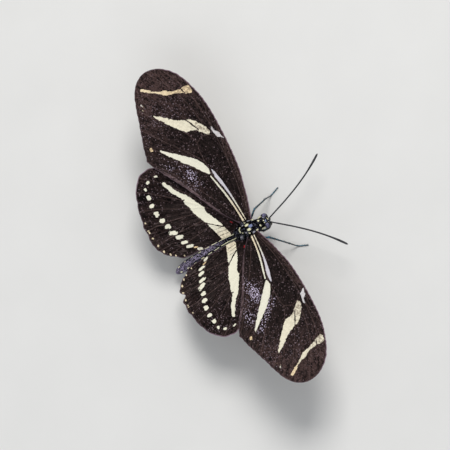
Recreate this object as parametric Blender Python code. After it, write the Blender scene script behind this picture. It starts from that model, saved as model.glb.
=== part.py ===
"""A zebra longwing butterfly, life size, standing on a floor with its long wings spread in a
shallow V, its abdomen hanging and its feelers reaching forward.

Shapes are worked out in millimetres in the body's own directions: out to the left, forward and
up, from the middle of the thorax. The head points along -Y and the left wings along +X.
"""

import math

import bmesh
import bpy
import numpy as np
from mathutils import Matrix, Vector
from mathutils.geometry import delaunay_2d_cdt

MM = 0.001
GAP = 0.3  # between nodes that touch

# Driving dimensions, in millimetres and degrees.
STANDING_HEIGHT = 7.0  # middle of the thorax above the floor
DIHEDRAL = math.radians(12)  # how far each wing is raised from level
HINGE_OUT = 2.0  # where the wing planes are hinged, out from the middle
FOREWING_UP = 1.3  # forewing plane at its hinge, above the middle of the thorax
HINDWING_UP = 0.2  # the hindwing lies under the forewing
WING_THICKNESS = 0.5
CAMBER = 0.0025  # fall of a wing per square millimetre of distance from its crest
CREST_FORWARD = -6.0
ARCH = 1.2  # along its length a wing arches up by this much
ARCH_OUT = 24.0  # where it arches most, out from the middle
VEIN_HALF_WIDTH = 0.32
VEIN_HEIGHT = 0.13
THORAX_FRONT = 2.4
THORAX_REAR = -4.0
THORAX_HALF_WIDTH = 2.1
THORAX_HALF_HEIGHT = 2.2
ABDOMEN_LENGTH = 16.2
ABDOMEN_DROOP = 3.9
HEAD_YAW = math.radians(8)  # the head is turned to the butterfly's right
HEAD_HALF_HEIGHT = 1.3
HEAD_SIDE = 0.8  # half width of the head between its eyes
EYE_BULGE = 0.95
EYE_RADIUS = 0.9
FOOT_RADIUS = 0.27
FOOT_UP = 0.15  # middle of a foot above the floor, so that its sole is flat

# Colours of the finish, linear.
WING_BLACK = (0.020, 0.013, 0.011)
BODY_BLACK = (0.012, 0.012, 0.015)
ABDOMEN_GREY = (0.035, 0.033, 0.045)
EYE_BROWN = (0.060, 0.045, 0.055)
LEG_SLATE = (0.045, 0.075, 0.095)


def finish(name, colour, roughness):
    """A plain opaque finish with the part's colour."""
    material = bpy.data.materials.new(name)
    material.use_nodes = True
    shader = material.node_tree.nodes["Principled BSDF"]
    shader.inputs["Base Color"].default_value = (*colour, 1.0)
    shader.inputs["Roughness"].default_value = roughness
    shader.inputs["Metallic"].default_value = 0.0
    return material


def add_part(name, points, faces, material):
    """A closed object whose points are given as (left, forward, up) in millimetres."""
    points = np.asarray(points, float)
    world = np.stack([points[:, 0], -points[:, 1], points[:, 2] + STANDING_HEIGHT], axis=1) * MM
    mesh = bpy.data.meshes.new(name)
    mesh.from_pydata(world.tolist(), [], faces)
    mesh.materials.append(material)
    outward = bmesh.new()
    outward.from_mesh(mesh)
    bmesh.ops.recalc_face_normals(outward, faces=outward.faces)
    outward.to_mesh(mesh)
    outward.free()
    mesh.shade_smooth()
    mesh.set_sharp_from_angle(angle=math.radians(50))
    part = bpy.data.objects.new(name, mesh)
    bpy.context.scene.collection.objects.link(part)
    return part


MIRROR = np.array([-1, 1, 1])  # takes a shape to the other side of the body


def spline(knots, step, closed=False):
    """Points about a step apart on the smooth curve (Catmull-Rom) through the knots."""
    knots = np.asarray(knots, float)
    if closed:
        padded = np.concatenate([knots[-1:], knots, knots[:2]])
    else:
        padded = np.concatenate([2 * knots[:1] - knots[1:2], knots, 2 * knots[-1:] - knots[-2:-1]])
    curve = []
    for a, b, c, d in zip(padded[:-3], padded[1:-2], padded[2:-1], padded[3:]):
        t = np.linspace(0, 1, 24, endpoint=False)[:, None]
        curve.append(0.5 * (2 * b + (c - a) * t + (2 * a - 5 * b + 4 * c - d) * t**2
                            + (3 * b - a - 3 * c + d) * t**3))
    curve = np.concatenate(curve + [padded[-2:-1]])
    along = np.concatenate([[0], np.cumsum(np.linalg.norm(np.diff(curve, axis=0), axis=1))])
    stops = np.linspace(0, along[-1], max(2, round(along[-1] / step) + 1))
    points = np.stack([np.interp(stops, along, curve[:, k]) for k in range(curve.shape[1])], axis=1)
    return points[:-1] if closed else points


def rings_to_solid(rings):
    """Closed body through a row of rings of equal size, with a fan over each end."""
    rings = np.asarray(rings, float)
    count, sides = rings.shape[:2]
    points = np.concatenate([rings.reshape(-1, 3), rings[0].mean(0)[None], rings[-1].mean(0)[None]])
    first, last = count * sides, count * sides + 1
    faces = []
    for i in range(count - 1):
        for j in range(sides):
            k = (j + 1) % sides
            faces.append((i * sides + j, i * sides + k, (i + 1) * sides + k, (i + 1) * sides + j))
    for j in range(sides):
        k = (j + 1) % sides
        faces.append((first, k, j))
        faces.append((last, (count - 1) * sides + j, (count - 1) * sides + k))
    return points, faces


def tube(path, radii, sides, floor=None):
    """Round tube along a path, carried without twist. Points under the floor are set on it."""
    path = np.asarray(path, float)
    along = np.gradient(path, axis=0)
    along /= np.linalg.norm(along, axis=1)[:, None]
    across = np.cross(along[0], [0.1, 0.2, 1.0])
    angle = np.arange(sides) * 2 * math.pi / sides
    rings = []
    for centre, forward, radius in zip(path, along, radii):
        across = across - forward * (across @ forward)
        across /= np.linalg.norm(across)
        other = np.cross(forward, across)
        ring = centre + radius * (np.cos(angle)[:, None] * across + np.sin(angle)[:, None] * other)
        if floor is not None:
            ring[:, 2] = np.maximum(ring[:, 2], floor)
        rings.append(ring)
    return rings_to_solid(rings)


def oval_ring(half_width, half_height, sides, power=2.0):
    """Points (across, up) of an oval against the clock. A power over 2 makes it boxier."""
    angle = np.arange(sides) * 2 * math.pi / sides
    c, s = np.cos(angle), np.sin(angle)
    return np.stack([half_width * np.sign(c) * np.abs(c) ** (2 / power),
                     half_height * np.sign(s) * np.abs(s) ** (2 / power)], axis=1)


# Thorax: a barrel, widest behind its middle, with flat ends for the head and the abdomen.

THORAX_END = 0.45  # half width of a flat end, as a share of the widest
THORAX_TAPER = 0.1  # its front is slimmer than its rear by twice this share
THORAX_MIDDLE = (THORAX_FRONT + THORAX_REAR) / 2
THORAX_STOOP = 0.35  # how far its front end bends down


def thorax_share(forward):
    """How wide and high the thorax is at this place, as a share of its widest."""
    t = (forward - THORAX_MIDDLE) / (THORAX_FRONT - THORAX_MIDDLE)
    full = THORAX_END + (1 - THORAX_END) * np.sqrt(np.clip(1 - np.abs(t) ** 2.4, 0, 1))
    return full * (1 - THORAX_TAPER * t)


def thorax_up(forward):
    """Height of the thorax's middle line, level behind and bent down in front."""
    ahead = np.clip((forward - THORAX_MIDDLE) / (THORAX_FRONT - THORAX_MIDDLE), 0, 1)
    return -THORAX_STOOP * ahead**2


def thorax_side(forward, up):
    """Half width of the thorax at this place and height."""
    share = thorax_share(forward)
    level = np.clip(np.abs(up - thorax_up(forward)) / (THORAX_HALF_HEIGHT * share), 0, 0.999)
    return THORAX_HALF_WIDTH * share * np.sqrt(1 - level**2)


def make_thorax():
    black = finish("thorax_black", BODY_BLACK, 0.6)
    rings = []
    turns = np.linspace(0, math.pi, 15)
    for forward in THORAX_MIDDLE - (THORAX_FRONT - THORAX_MIDDLE) * np.cos(turns):
        share = thorax_share(forward)
        oval = oval_ring(THORAX_HALF_WIDTH * share, THORAX_HALF_HEIGHT * share, 24)
        up = thorax_up(forward) + oval[:, 1]
        rings.append(np.stack([oval[:, 0], np.full(24, forward), up], axis=1))
    points, faces = rings_to_solid(rings)
    add_part("thorax", points, faces, black)


# Abdomen: slim at its waist, swollen behind, in rings, and bent down towards its tip.

ABDOMEN_FRONT = THORAX_REAR - GAP
ABDOMEN_RADII = [(0.0, 0.72), (0.14, 0.68), (0.38, 0.84), (0.62, 1.08), (0.80, 1.20), (0.92, 1.0),
                 (0.98, 0.62), (1.0, 0.3)]
ABDOMEN_SEGMENTS = 8
SEGMENT_GROOVE = 0.05


def abdomen_radius(share):
    """Radius of the abdomen at a share of its length, before its rings are marked."""
    stops, radii = zip(*ABDOMEN_RADII)
    return np.interp(share, stops, radii)


def abdomen_middle(share):
    """(forward, up) of the abdomen's middle line: it starts level and falls ever faster."""
    return (ABDOMEN_FRONT - ABDOMEN_LENGTH * share,
            0.25 - ABDOMEN_DROOP * np.power(share, 1.8))


def make_abdomen():
    grey = finish("abdomen_grey", ABDOMEN_GREY, 0.5)
    shares = [0.0]
    for k in range(ABDOMEN_SEGMENTS):
        start, width = k / ABDOMEN_SEGMENTS, 1 / ABDOMEN_SEGMENTS
        shares += [start + width * 0.35, start + width * 0.7, start + width * 0.99]
    shares[-1] = 1.0
    rings = []
    for share in shares:
        forward, up = abdomen_middle(share)
        ahead, above = abdomen_middle(share + 0.01)
        slope = math.atan2(above - up, ahead - forward) - math.pi
        in_segment = (share * ABDOMEN_SEGMENTS) % 1
        groove = SEGMENT_GROOVE if in_segment > 0.9 or share == 0 else 0.0
        radius = abdomen_radius(share) - groove
        oval = oval_ring(radius, radius, 16)
        rings.append(np.stack([oval[:, 0], forward - oval[:, 1] * math.sin(slope),
                               up + oval[:, 1] * math.cos(slope)], axis=1))
    points, faces = rings_to_solid(rings)
    add_part("abdomen", points, faces, grey)


# Head: a capsule with flat sides where the eyes sit. It turns a little to the right.

HEAD_REAR = THORAX_FRONT + GAP
HEAD_FRONT = 4.5
HEAD_UP = -0.55
NECK_TURN_LENGTH = 0.7


def turned(points):
    """Head pieces turn to the right about the neck, little by little from its rear face."""
    points = np.array(points, float)
    t = np.clip((points[:, 1] - HEAD_REAR) / NECK_TURN_LENGTH, 0, 1)
    angle = HEAD_YAW * t * t * (3 - 2 * t)
    ahead = points[:, 1] - HEAD_REAR
    out = points[:, 0] * np.cos(angle) - ahead * np.sin(angle)
    forward = points[:, 0] * np.sin(angle) + ahead * np.cos(angle)
    return np.stack([out, forward + HEAD_REAR, points[:, 2]], axis=1)


def head_share(forward):
    """How high the head is at this place, as a share of its highest."""
    t = (forward - (HEAD_REAR + HEAD_FRONT) / 2) / ((HEAD_FRONT - HEAD_REAR) / 2)
    return 0.5 + 0.5 * np.sqrt(np.clip(1 - np.abs(t) ** 2.2, 0, 1))


def make_head():
    black = finish("head_black", BODY_BLACK, 0.6)
    rings = []
    middle, half = (HEAD_REAR + HEAD_FRONT) / 2, (HEAD_FRONT - HEAD_REAR) / 2
    for forward in middle - half * np.cos(np.linspace(0, math.pi, 11)):
        share = head_share(forward)
        oval = oval_ring(HEAD_SIDE * (0.5 + 0.5 * share), HEAD_HALF_HEIGHT * share, 20, power=4)
        rings.append(np.stack([oval[:, 0], np.full(20, forward), HEAD_UP + oval[:, 1]], axis=1))
    points, faces = rings_to_solid(rings)
    add_part("head", turned(points), faces, black)


EYE_FORWARD = 3.62
EYE_RINGS = 7


def make_eyes():
    """Each eye is a dome whose flat back stands off the head's flat side by the gap."""
    brown = finish("eye_brown", EYE_BROWN, 0.25)
    rings = []
    for lift in np.linspace(0, 0.97, EYE_RINGS):
        radius = EYE_RADIUS * math.sqrt(1 - lift**2)
        oval = oval_ring(radius, radius * 1.05, 20)
        out = np.full(20, HEAD_SIDE + GAP + EYE_BULGE * lift)
        rings.append(np.stack([out, EYE_FORWARD + oval[:, 0], HEAD_UP + oval[:, 1]], axis=1))
    points, faces = rings_to_solid(rings)
    add_part("eye_left", turned(points), faces, brown)
    add_part("eye_right", turned(points * MIRROR), faces, brown)


# Feelers: thin rods, a little thicker towards the tip, which bend slightly outward.

FEELER_RADIUS = 0.25
FEELER_CLUB = 0.32
FEELER_ROOT = (0.37, HEAD_FRONT + 0.1, -0.45)
FEELER_TIPS = {"left": (8.3, 21.3, 0.5), "right": (-14.5, 17.7, 0.5)}
FEELER_BOW = 0.55  # how far the middle stands in from the straight line


def make_feelers():
    black = finish("feeler_black", BODY_BLACK, 0.5)
    for side, tip in FEELER_TIPS.items():
        sign = 1 if side == "left" else -1
        root = turned([[sign * FEELER_ROOT[0], FEELER_ROOT[1], FEELER_ROOT[2]]])[0]
        tip = np.array(tip)
        outward = np.array([sign, 0, 0.0])
        line = tip - root
        outward = outward - line * (outward @ line) / (line @ line)
        outward /= np.linalg.norm(outward)
        t = np.linspace(0, 1, 15)[:, None]
        path = root + line * t - outward * FEELER_BOW * 4 * t * (1 - t)
        radii = np.interp(t[:, 0], [0, 0.72, 0.9, 0.98, 1],
                          [FEELER_RADIUS, FEELER_RADIUS, FEELER_CLUB, FEELER_CLUB * 0.7, 0.1])
        add_part("antenna_" + side, *tube(path, radii, 8), black)


# Mouth parts: two furry palps in front of the face, and the tongue coiled under it.

PALP_PATH = [(0.62, 4.15, -2.3), (0.62, 4.6, -2.25), (0.58, 4.86, -1.9), (0.52, 4.9, -1.5)]
COIL_RADIUS = 0.98
COIL_SIDES = 20
COIL_PROFILE = [(0.12, 0.26), (0.30, 0.28), (0.42, 0.17), (0.56, 0.28), (0.80, 0.28), (COIL_RADIUS, 0.12)]
COIL_FORWARD = 3.6
COIL_UP = HEAD_UP - HEAD_HALF_HEIGHT - GAP - COIL_RADIUS


def make_palps():
    black = finish("palp_black", BODY_BLACK, 0.7)
    path = spline(PALP_PATH, 0.4)
    radii = np.interp(np.linspace(0, 1, len(path)), [0, 0.5, 0.85, 1], [0.25, 0.28, 0.22, 0.1])
    points, faces = tube(path, radii, 8)
    add_part("palp_left", turned(points), faces, black)
    add_part("palp_right", turned(points * MIRROR), faces, black)


def make_tongue():
    """The tongue is wound in an upright coil under the head: a disc with a groove between turns."""
    black = finish("tongue_black", BODY_BLACK, 0.4)
    angle = np.arange(COIL_SIDES) * 2 * math.pi / COIL_SIDES
    side = [(out, radius) for radius, out in COIL_PROFILE]
    rings = []
    for out, radius in side + [(-out, radius) for out, radius in reversed(side)]:
        rings.append(np.stack([np.full(COIL_SIDES, out), COIL_FORWARD + radius * np.cos(angle),
                               COIL_UP + radius * np.sin(angle)], axis=1))
    points, faces = rings_to_solid(rings)
    add_part("proboscis", points, faces, black)


# Legs: two long pairs that stand, and a small folded front pair, as all brush-footed kinds have.

FOOT_LEVEL = FOOT_UP - STANDING_HEIGHT
MIDDLE_LEG = [(1.30, -0.5, -2.15), (1.90, -0.4, -2.65), (3.90, 2.5, -0.25), (6.20, 6.0, -4.6),
              (6.75, 7.0, FOOT_LEVEL + 0.5), (7.05, 7.6, FOOT_LEVEL), (8.00, 9.8, FOOT_LEVEL)]
HIND_LEG = [(1.20, -2.3, -2.05), (1.85, -2.6, -2.55), (4.80, -4.8, -0.75), (6.70, -9.4, -4.9),
            (7.20, -10.6, FOOT_LEVEL + 0.5), (7.45, -11.5, FOOT_LEVEL), (8.00, -13.9, FOOT_LEVEL)]
LEG_RADII = [0.34, 0.34, 0.28, 0.26, 0.26, FOOT_RADIUS, 0.25]
FRONT_LEG = [(0.80, 1.5, -2.1), (1.0, 2.0, -2.75), (1.05, 3.0, -2.75), (0.95, 3.9, -2.35)]
FRONT_LEG_RADII = [0.26, 0.28, 0.27, 0.18]


def rounded(corners, radii, lead=0.32):
    """Path and radii through the corners of a leg, each corner cut by two nearby points."""
    corners, path, size = np.asarray(corners, float), [], []
    for i, corner in enumerate(corners):
        if i in (0, len(corners) - 1):
            path.append(corner)
            size.append(radii[i])
            continue
        for j in (i - 1, i + 1):
            toward = corners[j] - corner
            path.append(corner + toward * min(0.35, lead / np.linalg.norm(toward)))
            size.append(radii[i])
    return np.array(path), size


def make_legs():
    slate = finish("leg_slate", LEG_SLATE, 0.45)
    for name, corners, radii in (("midleg", MIDDLE_LEG, LEG_RADII), ("hindleg", HIND_LEG, LEG_RADII),
                                 ("foreleg", FRONT_LEG, FRONT_LEG_RADII)):
        path, size = rounded(corners, radii)
        points, faces = tube(path, size, 8, floor=-STANDING_HEIGHT)
        add_part(name + "_left", points, faces, slate)
        add_part(name + "_right", points * MIRROR, faces, slate)


# Wings. Outlines and veins are (out, forward) on the ground plan, in order from the front of
# the root round the tip to the back of the root.

FOREWING_OUTLINE = [(7.0, 2.5), (15.0, 4.1), (25.5, 4.45), (32.0, 3.8), (38.5, 1.5), (41.9, -2.1),
                    (42.3, -6.2), (39.2, -9.6), (32.0, -12.1), (25.3, -14.0), (22.6, -13.8),
                    (14.0, -9.0), (6.0, -4.3)]
FOREWING_ROOT = (0.7, -1.7)
HINDWING_OUTLINE = [(8.0, -3.3), (15.0, -6.8), (20.3, -10.6), (22.75, -14.3), (22.4, -17.5),
                    (20.0, -19.75), (17.3, -20.95), (14.0, -21.8), (11.5, -22.35), (7.5, -22.4),
                    (5.0, -21.4), (3.2, -20.0), (2.3, -18.4)]
HINDWING_ROOT = (-1.5, -3.3)
HINDWING_HEM = (-17.0, -4.6)  # the inner edge runs beside the abdomen between these places

FOREWING_VEINS = {
    "subcostal": [(3.6, 0.7), (10.0, 2.7), (17.0, 3.5), (23.5, 4.9)],
    "radial": [(2.9, 0.1), (8.0, 1.4), (14.0, 2.2), (22.0, 2.6), (28.0, 2.4), (34.9, 1.3), (41.9, -1.8)],
    "first_branch": [(14.0, 2.2), (20.0, 3.2), (27.5, 4.9)],
    "second_branch": [(22.0, 2.6), (27.0, 3.1), (32.8, 4.2)],
    "third_branch": [(28.0, 2.4), (33.0, 2.3), (37.8, 2.4)],
    "cell_hind": [(2.9, -0.75), (8.0, -1.45), (14.2, -2.3), (20.1, -2.5), (22.4, -2.0)],
    "cell_end": [(22.4, -2.0), (23.2, -0.5), (22.9, 1.2), (22.0, 2.6)],
    "media_1": [(22.9, 1.2), (28.0, 0.9), (34.9, -0.9), (42.9, -5.2)],
    "media_2": [(23.2, -0.3), (24.9, -0.15), (28.6, -1.9), (34.0, -4.9), (41.5, -9.2)],
    "media_3": [(22.4, -2.0), (25.4, -3.2), (28.6, -5.4), (31.0, -7.4), (36.4, -11.6)],
    "cubital_1": [(17.5, -2.4), (20.5, -4.3), (25.0, -7.8), (32.0, -13.0)],
    "cubital_2": [(14.2, -2.3), (16.5, -4.5), (20.1, -7.25), (24.0, -10.3), (28.4, -14.2)],
    "anal": [(3.6, -1.8), (9.0, -4.6), (16.0, -8.7), (22.2, -12.9), (24.4, -15.0)],
}
HINDWING_VEINS = {
    "costal": [(3.0, -2.6), (8.0, -4.6), (14.5, -8.0), (19.5, -11.8), (23.4, -15.6)],
    "radial": [(4.5, -4.0), (10.0, -7.2), (15.5, -11.2), (20.0, -15.4), (22.5, -18.9)],
    "cell_front": [(3.0, -3.2), (4.5, -4.0), (8.2, -6.6), (9.6, -8.6), (10.2, -10.4)],
    "media_1": [(8.2, -6.6), (13.5, -12.2), (18.1, -17.9), (19.9, -21.0)],
    "media_2": [(10.2, -10.4), (14.0, -18.1), (15.4, -22.6)],
    "media_3": [(8.9, -10.6), (10.2, -17.5), (10.7, -23.2)],
    "cell_end": [(10.2, -10.4), (8.9, -10.6), (6.6, -9.7)],
    "cell_hind": [(2.6, -4.6), (3.3, -6.3), (4.8, -8.1), (6.6, -9.7)],
    "cubital_1": [(6.6, -9.7), (6.8, -16.3), (6.3, -23.0)],
    "cubital_2": [(4.8, -8.1), (4.0, -15.2), (3.1, -21.5)],
}
OUTLINE_STEP = 1.2
VEIN_STEP = 1.6
FILL_STEP = 3.0
FILL_MARGIN = 0.9  # fill points stay this far from the outline and the veins


def wing_up(points, hinge_up):
    """Height of a wing's middle surface over the ground plan."""
    out, forward = points[:, 0], points[:, 1]
    arch = ARCH * (1 - ((out - ARCH_OUT) / ARCH_OUT) ** 2)
    return (hinge_up + math.tan(DIHEDRAL) * (out - HINGE_OUT) + arch
            - CAMBER * (forward - CREST_FORWARD) ** 2)


def root_line(front, rear, hinge_up, count=4):
    """The wing's root, from rear to front, a gap away from the side of the thorax."""
    forward = np.linspace(rear, front, count)
    return np.stack([thorax_side(forward, hinge_up) + GAP, forward], axis=1)


def abdomen_line(rear, front, count=9):
    """The hindwing's inner edge, a gap away from the widest line of the abdomen."""
    forward = np.linspace(rear, front, count)
    share = (ABDOMEN_FRONT - forward) / ABDOMEN_LENGTH
    return np.stack([abdomen_radius(share) + GAP + 0.08, forward], axis=1)


def offset_line(line, distance):
    """The line moved sideways by a distance."""
    along = np.gradient(line, axis=0)
    along /= np.linalg.norm(along, axis=1)[:, None]
    return line + distance * np.stack([-along[:, 1], along[:, 0]], axis=1)


def distance_to_lines(points, lines):
    """Distance from each point to the nearest piece of any of the lines."""
    best = np.full(len(points), 1e9)
    for line in lines:
        for a, b in zip(line[:-1], line[1:]):
            along = b - a
            t = np.clip(((points - a) @ along) / (along @ along), 0, 1)
            best = np.minimum(best, np.linalg.norm(points - a - t[:, None] * along, axis=1))
    return best


def inside(points, outline):
    """Whether each point lies inside the closed outline, by counting crossings."""
    found = np.zeros(len(points), bool)
    for a, b in zip(outline, np.roll(outline, -1, axis=0)):
        spans = (a[1] > points[:, 1]) != (b[1] > points[:, 1])
        if a[1] != b[1]:
            cut = a[0] + (points[:, 1] - a[1]) * (b[0] - a[0]) / (b[1] - a[1])
            found ^= spans & (points[:, 0] < cut)
    return found


def wing_plan(outline, veins):
    """Points and triangles of the flat plan, with edges along each vein and both its feet."""
    low, high = outline.min(0), outline.max(0)
    grid = np.stack(np.meshgrid(np.arange(low[0], high[0], FILL_STEP),
                                np.arange(low[1], high[1], FILL_STEP * 0.87)), axis=-1)
    grid[1::2, :, 0] += FILL_STEP / 2
    grid = grid.reshape(-1, 2)
    rim = [np.concatenate([outline, outline[:1]])]
    keep = inside(grid, outline) & (distance_to_lines(grid, rim + veins) > FILL_MARGIN)
    points, edges = [tuple(p) for p in outline], []
    for vein in veins:
        for distance in (-VEIN_HALF_WIDTH, 0, VEIN_HALF_WIDTH):
            line = offset_line(vein, distance)
            start = len(points)
            points += [tuple(p) for p in line]
            edges += [(start + i, start + i + 1) for i in range(len(line) - 1)]
    points += [tuple(p) for p in grid[keep]]
    face = list(range(len(outline)))
    found = delaunay_2d_cdt([Vector(p) for p in points], edges, [face], 1, 0.02)
    plan = np.array([tuple(p) for p in found[0]])
    used, triangles = np.unique([tuple(f) for f in found[2]], return_inverse=True)
    return plan[used], triangles.reshape(-1, 3)


def wing_solid(outline, veins, hinge_up):
    """Upper and lower faces alike in triangles, raised over the veins, and joined round the rim."""
    veins = [spline(knots, VEIN_STEP) for knots in veins.values()]
    plan, triangles = wing_plan(outline, veins)
    share = np.clip(1 - distance_to_lines(plan, veins) / VEIN_HALF_WIDTH, 0, 1)
    half = WING_THICKNESS / 2 + VEIN_HEIGHT * share
    middle = wing_up(plan, hinge_up)
    count = len(plan)
    points = np.concatenate([np.column_stack([plan, middle + half]),
                             np.column_stack([plan, middle - half])])
    faces = [tuple(t) for t in triangles] + [tuple(t[::-1] + count) for t in triangles]
    ways = {(t[i], t[(i + 1) % 3]) for t in triangles for i in range(3)}
    for a, b in ways:
        if (b, a) not in ways:
            faces += [(b, a, a + count), (b, a + count, b + count)]
    return points, faces


def make_wings():
    black = finish("wing_black", WING_BLACK, 0.6)
    fore_root = root_line(*FOREWING_ROOT, FOREWING_UP)
    fore = spline([fore_root[-1]] + FOREWING_OUTLINE + [fore_root[0]], OUTLINE_STEP)
    fore = np.concatenate([fore, fore_root[1:-1]])
    hind_root = root_line(*HINDWING_ROOT, HINDWING_UP)
    hem = abdomen_line(*HINDWING_HEM)
    hind = spline([hind_root[-1]] + HINDWING_OUTLINE + [hem[0]], OUTLINE_STEP)
    hind = np.concatenate([hind, hem[1:], hind_root[:-1]])
    for name, outline, veins, up in (("forewing", fore, FOREWING_VEINS, FOREWING_UP),
                                     ("hindwing", hind, HINDWING_VEINS, HINDWING_UP)):
        points, faces = wing_solid(outline, veins, up)
        add_part(name + "_left", points, faces, black)
        add_part(name + "_right", points * MIRROR, faces, black)


def centre_over_origin():
    """Moves every part along Y so that the origin is under the middle of the whole."""
    parts = [part for part in bpy.data.objects if part.type == "MESH"]
    reach = [v.co.y for part in parts for v in part.data.vertices]
    shift = -(min(reach) + max(reach)) / 2
    for part in parts:
        part.data.transform(Matrix.Translation((0, shift, 0)))


for old in list(bpy.data.objects):
    bpy.data.objects.remove(old)
make_thorax()
make_abdomen()
make_head()
make_eyes()
make_feelers()
make_palps()
make_tongue()
make_legs()
make_wings()
centre_over_origin()
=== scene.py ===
"""The looks of a life-size zebra longwing butterfly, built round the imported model.

Shapes are worked out in millimetres in the butterfly's own directions: out to its left, forward
and up, from the middle of its thorax. placed() takes them to the frame's metres.
"""

import math

import bmesh
import bpy
import numpy as np
from mathutils import Matrix, Vector


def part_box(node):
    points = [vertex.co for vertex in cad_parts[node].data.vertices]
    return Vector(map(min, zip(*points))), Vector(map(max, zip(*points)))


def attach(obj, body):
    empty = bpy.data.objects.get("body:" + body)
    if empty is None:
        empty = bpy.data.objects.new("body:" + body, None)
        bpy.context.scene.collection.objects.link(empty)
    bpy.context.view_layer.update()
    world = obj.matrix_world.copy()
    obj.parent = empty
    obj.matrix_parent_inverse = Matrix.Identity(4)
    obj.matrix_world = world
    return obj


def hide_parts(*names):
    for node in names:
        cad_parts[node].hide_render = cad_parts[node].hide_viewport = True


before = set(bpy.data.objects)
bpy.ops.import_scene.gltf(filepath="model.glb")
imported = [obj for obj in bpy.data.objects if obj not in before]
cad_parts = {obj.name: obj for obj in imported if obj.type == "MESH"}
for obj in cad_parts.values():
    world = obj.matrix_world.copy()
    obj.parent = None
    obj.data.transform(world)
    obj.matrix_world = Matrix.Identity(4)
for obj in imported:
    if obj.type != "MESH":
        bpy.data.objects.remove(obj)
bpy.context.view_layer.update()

# The skin of head, thorax and abdomen.
# It is one closed surface lofted through stations from the face to the tip of the abdomen, with
# the neck, the domed back, the shield behind it and the eight rings of the abdomen in its shape.

MM = 0.001
THORAX_FORWARD = -0.8  # middle of the thorax in the butterfly's own millimetres
thorax_low, thorax_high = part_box("thorax")
BODY_Y = (thorax_low.y + thorax_high.y) / 2 + THORAX_FORWARD * MM
BODY_Z = (thorax_low.z + thorax_high.z) / 2


def placed(points):
    """The frame's metres from the butterfly's millimetres: out is +X, forward is -Y, up is +Z."""
    out, forward, up = np.moveaxis(np.asarray(points, float), -1, 0)
    return np.stack([out * MM, BODY_Y - forward * MM, BODY_Z + up * MM], axis=-1)


def unit(vectors):
    """Rows of directions at length 1."""
    return vectors / np.linalg.norm(vectors, axis=1)[:, None]


def spline(knots, step):
    """Points about a step apart on the Catmull-Rom curve through knots of any dimension."""
    knots = np.asarray(knots, float)
    padded = np.concatenate([2 * knots[:1] - knots[1:2], knots, 2 * knots[-1:] - knots[-2:-1]])
    a, b, c, d = padded[:-3, None], padded[1:-2, None], padded[2:-1, None], padded[3:, None]
    t = np.linspace(0, 1, 40, endpoint=False)[None, :, None]
    curve = 0.5 * (2 * b + (c - a) * t + (2 * a - 5 * b + 4 * c - d) * t**2
                   + (3 * b - a - 3 * c + d) * t**3)
    curve = np.concatenate([curve.reshape(-1, knots.shape[1]), knots[-1:]])
    along = np.concatenate([[0], np.cumsum(np.linalg.norm(np.diff(curve, axis=0), axis=1))])
    stops = np.linspace(0, along[-1], max(2, round(along[-1] / step) + 1))
    return np.stack([np.interp(stops, along, column) for column in curve.T], axis=1)


def smooth(low, high, value):
    """0 below low, 1 above high and 3t^2 - 2t^3 between them."""
    t = np.clip((value - low) / (high - low), 0, 1)
    return t * t * (3 - 2 * t)


def bell(value, middle, width):
    """A bell curve, 1 at its middle and 0.37 a width away."""
    return np.exp(-((value - middle) / width) ** 2)


def net(rows, columns, wrap=False):
    """Quads between neighbouring rows and columns, and their unwrap onto the unit square."""
    across = columns - (not wrap)
    i, j = np.meshgrid(np.arange(rows - 1), np.arange(across), indexing="ij")
    corners = ((0, 0), (1, 0), (1, 1), (0, 1))
    quads = [(i + y) * columns + (j + x) % columns for x, y in corners]
    unwrap = [np.stack([(j + x) / across, (i + y) / (rows - 1)], axis=-1) for x, y in corners]
    return np.stack(quads, axis=-1).reshape(-1, 4), np.stack(unwrap, axis=-2).reshape(-1, 4, 2)


def add_piece(name, points, faces_and_unwrap, material, nodes=(), marks=None):
    """A closed piece from points in millimetres: places that meet are merged, faces point out."""
    faces, unwrap = faces_and_unwrap
    mesh = bpy.data.meshes.new(name)
    mesh.from_pydata(placed(points).reshape(-1, 3).tolist(), [], [list(face) for face in faces])
    for mark_name, values in (marks or {}).items():
        attribute = mesh.attributes.new(mark_name, "FLOAT", "POINT")
        attribute.data.foreach_set("value", np.ravel(values).astype(np.float32))
    layer = mesh.uv_layers.new(name="OFBake")
    layer.data.foreach_set("uv", np.ravel(unwrap).astype(np.float32))
    mesh.materials.append(material)
    shape = bmesh.new()
    shape.from_mesh(mesh)
    bmesh.ops.remove_doubles(shape, verts=shape.verts, dist=1e-7)
    bmesh.ops.recalc_face_normals(shape, faces=shape.faces)
    shape.to_mesh(mesh)
    shape.free()
    mesh.shade_smooth()
    piece = bpy.data.objects.new(name, mesh)
    bpy.context.scene.collection.objects.link(piece)
    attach(piece, "root")
    if nodes:
        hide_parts(*nodes)


class Field:
    """A value or colour over a surface: a node's output, with arithmetic as Math nodes."""

    tree = None  # the node tree that new nodes go into

    def __init__(self, socket):
        self.socket = socket

    def __add__(self, other):
        return reckon("ADD", self, other)

    def __radd__(self, other):
        return reckon("ADD", other, self)

    def __sub__(self, other):
        return reckon("SUBTRACT", self, other)

    def __mul__(self, other):
        return reckon("MULTIPLY", self, other)

    def __truediv__(self, other):
        return reckon("DIVIDE", self, other)


def fill(node, inputs):
    """Each input of a node gets a number or a colour, or a link from a field."""
    for key, value in inputs.items():
        if isinstance(value, Field):
            Field.tree.links.new(value.socket, node.inputs[key])
        else:
            node.inputs[key].default_value = value


def add_node(kind, inputs, *outputs, **settings):
    """A shader node with its settings and inputs, as fields of the outputs that are named."""
    node = Field.tree.nodes.new("ShaderNode" + kind)
    for key, value in settings.items():
        setattr(node, key, value)
    fill(node, inputs)
    fields = [Field(node.outputs[key]) for key in outputs or (0,)]
    return fields if len(fields) > 1 else fields[0]


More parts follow.
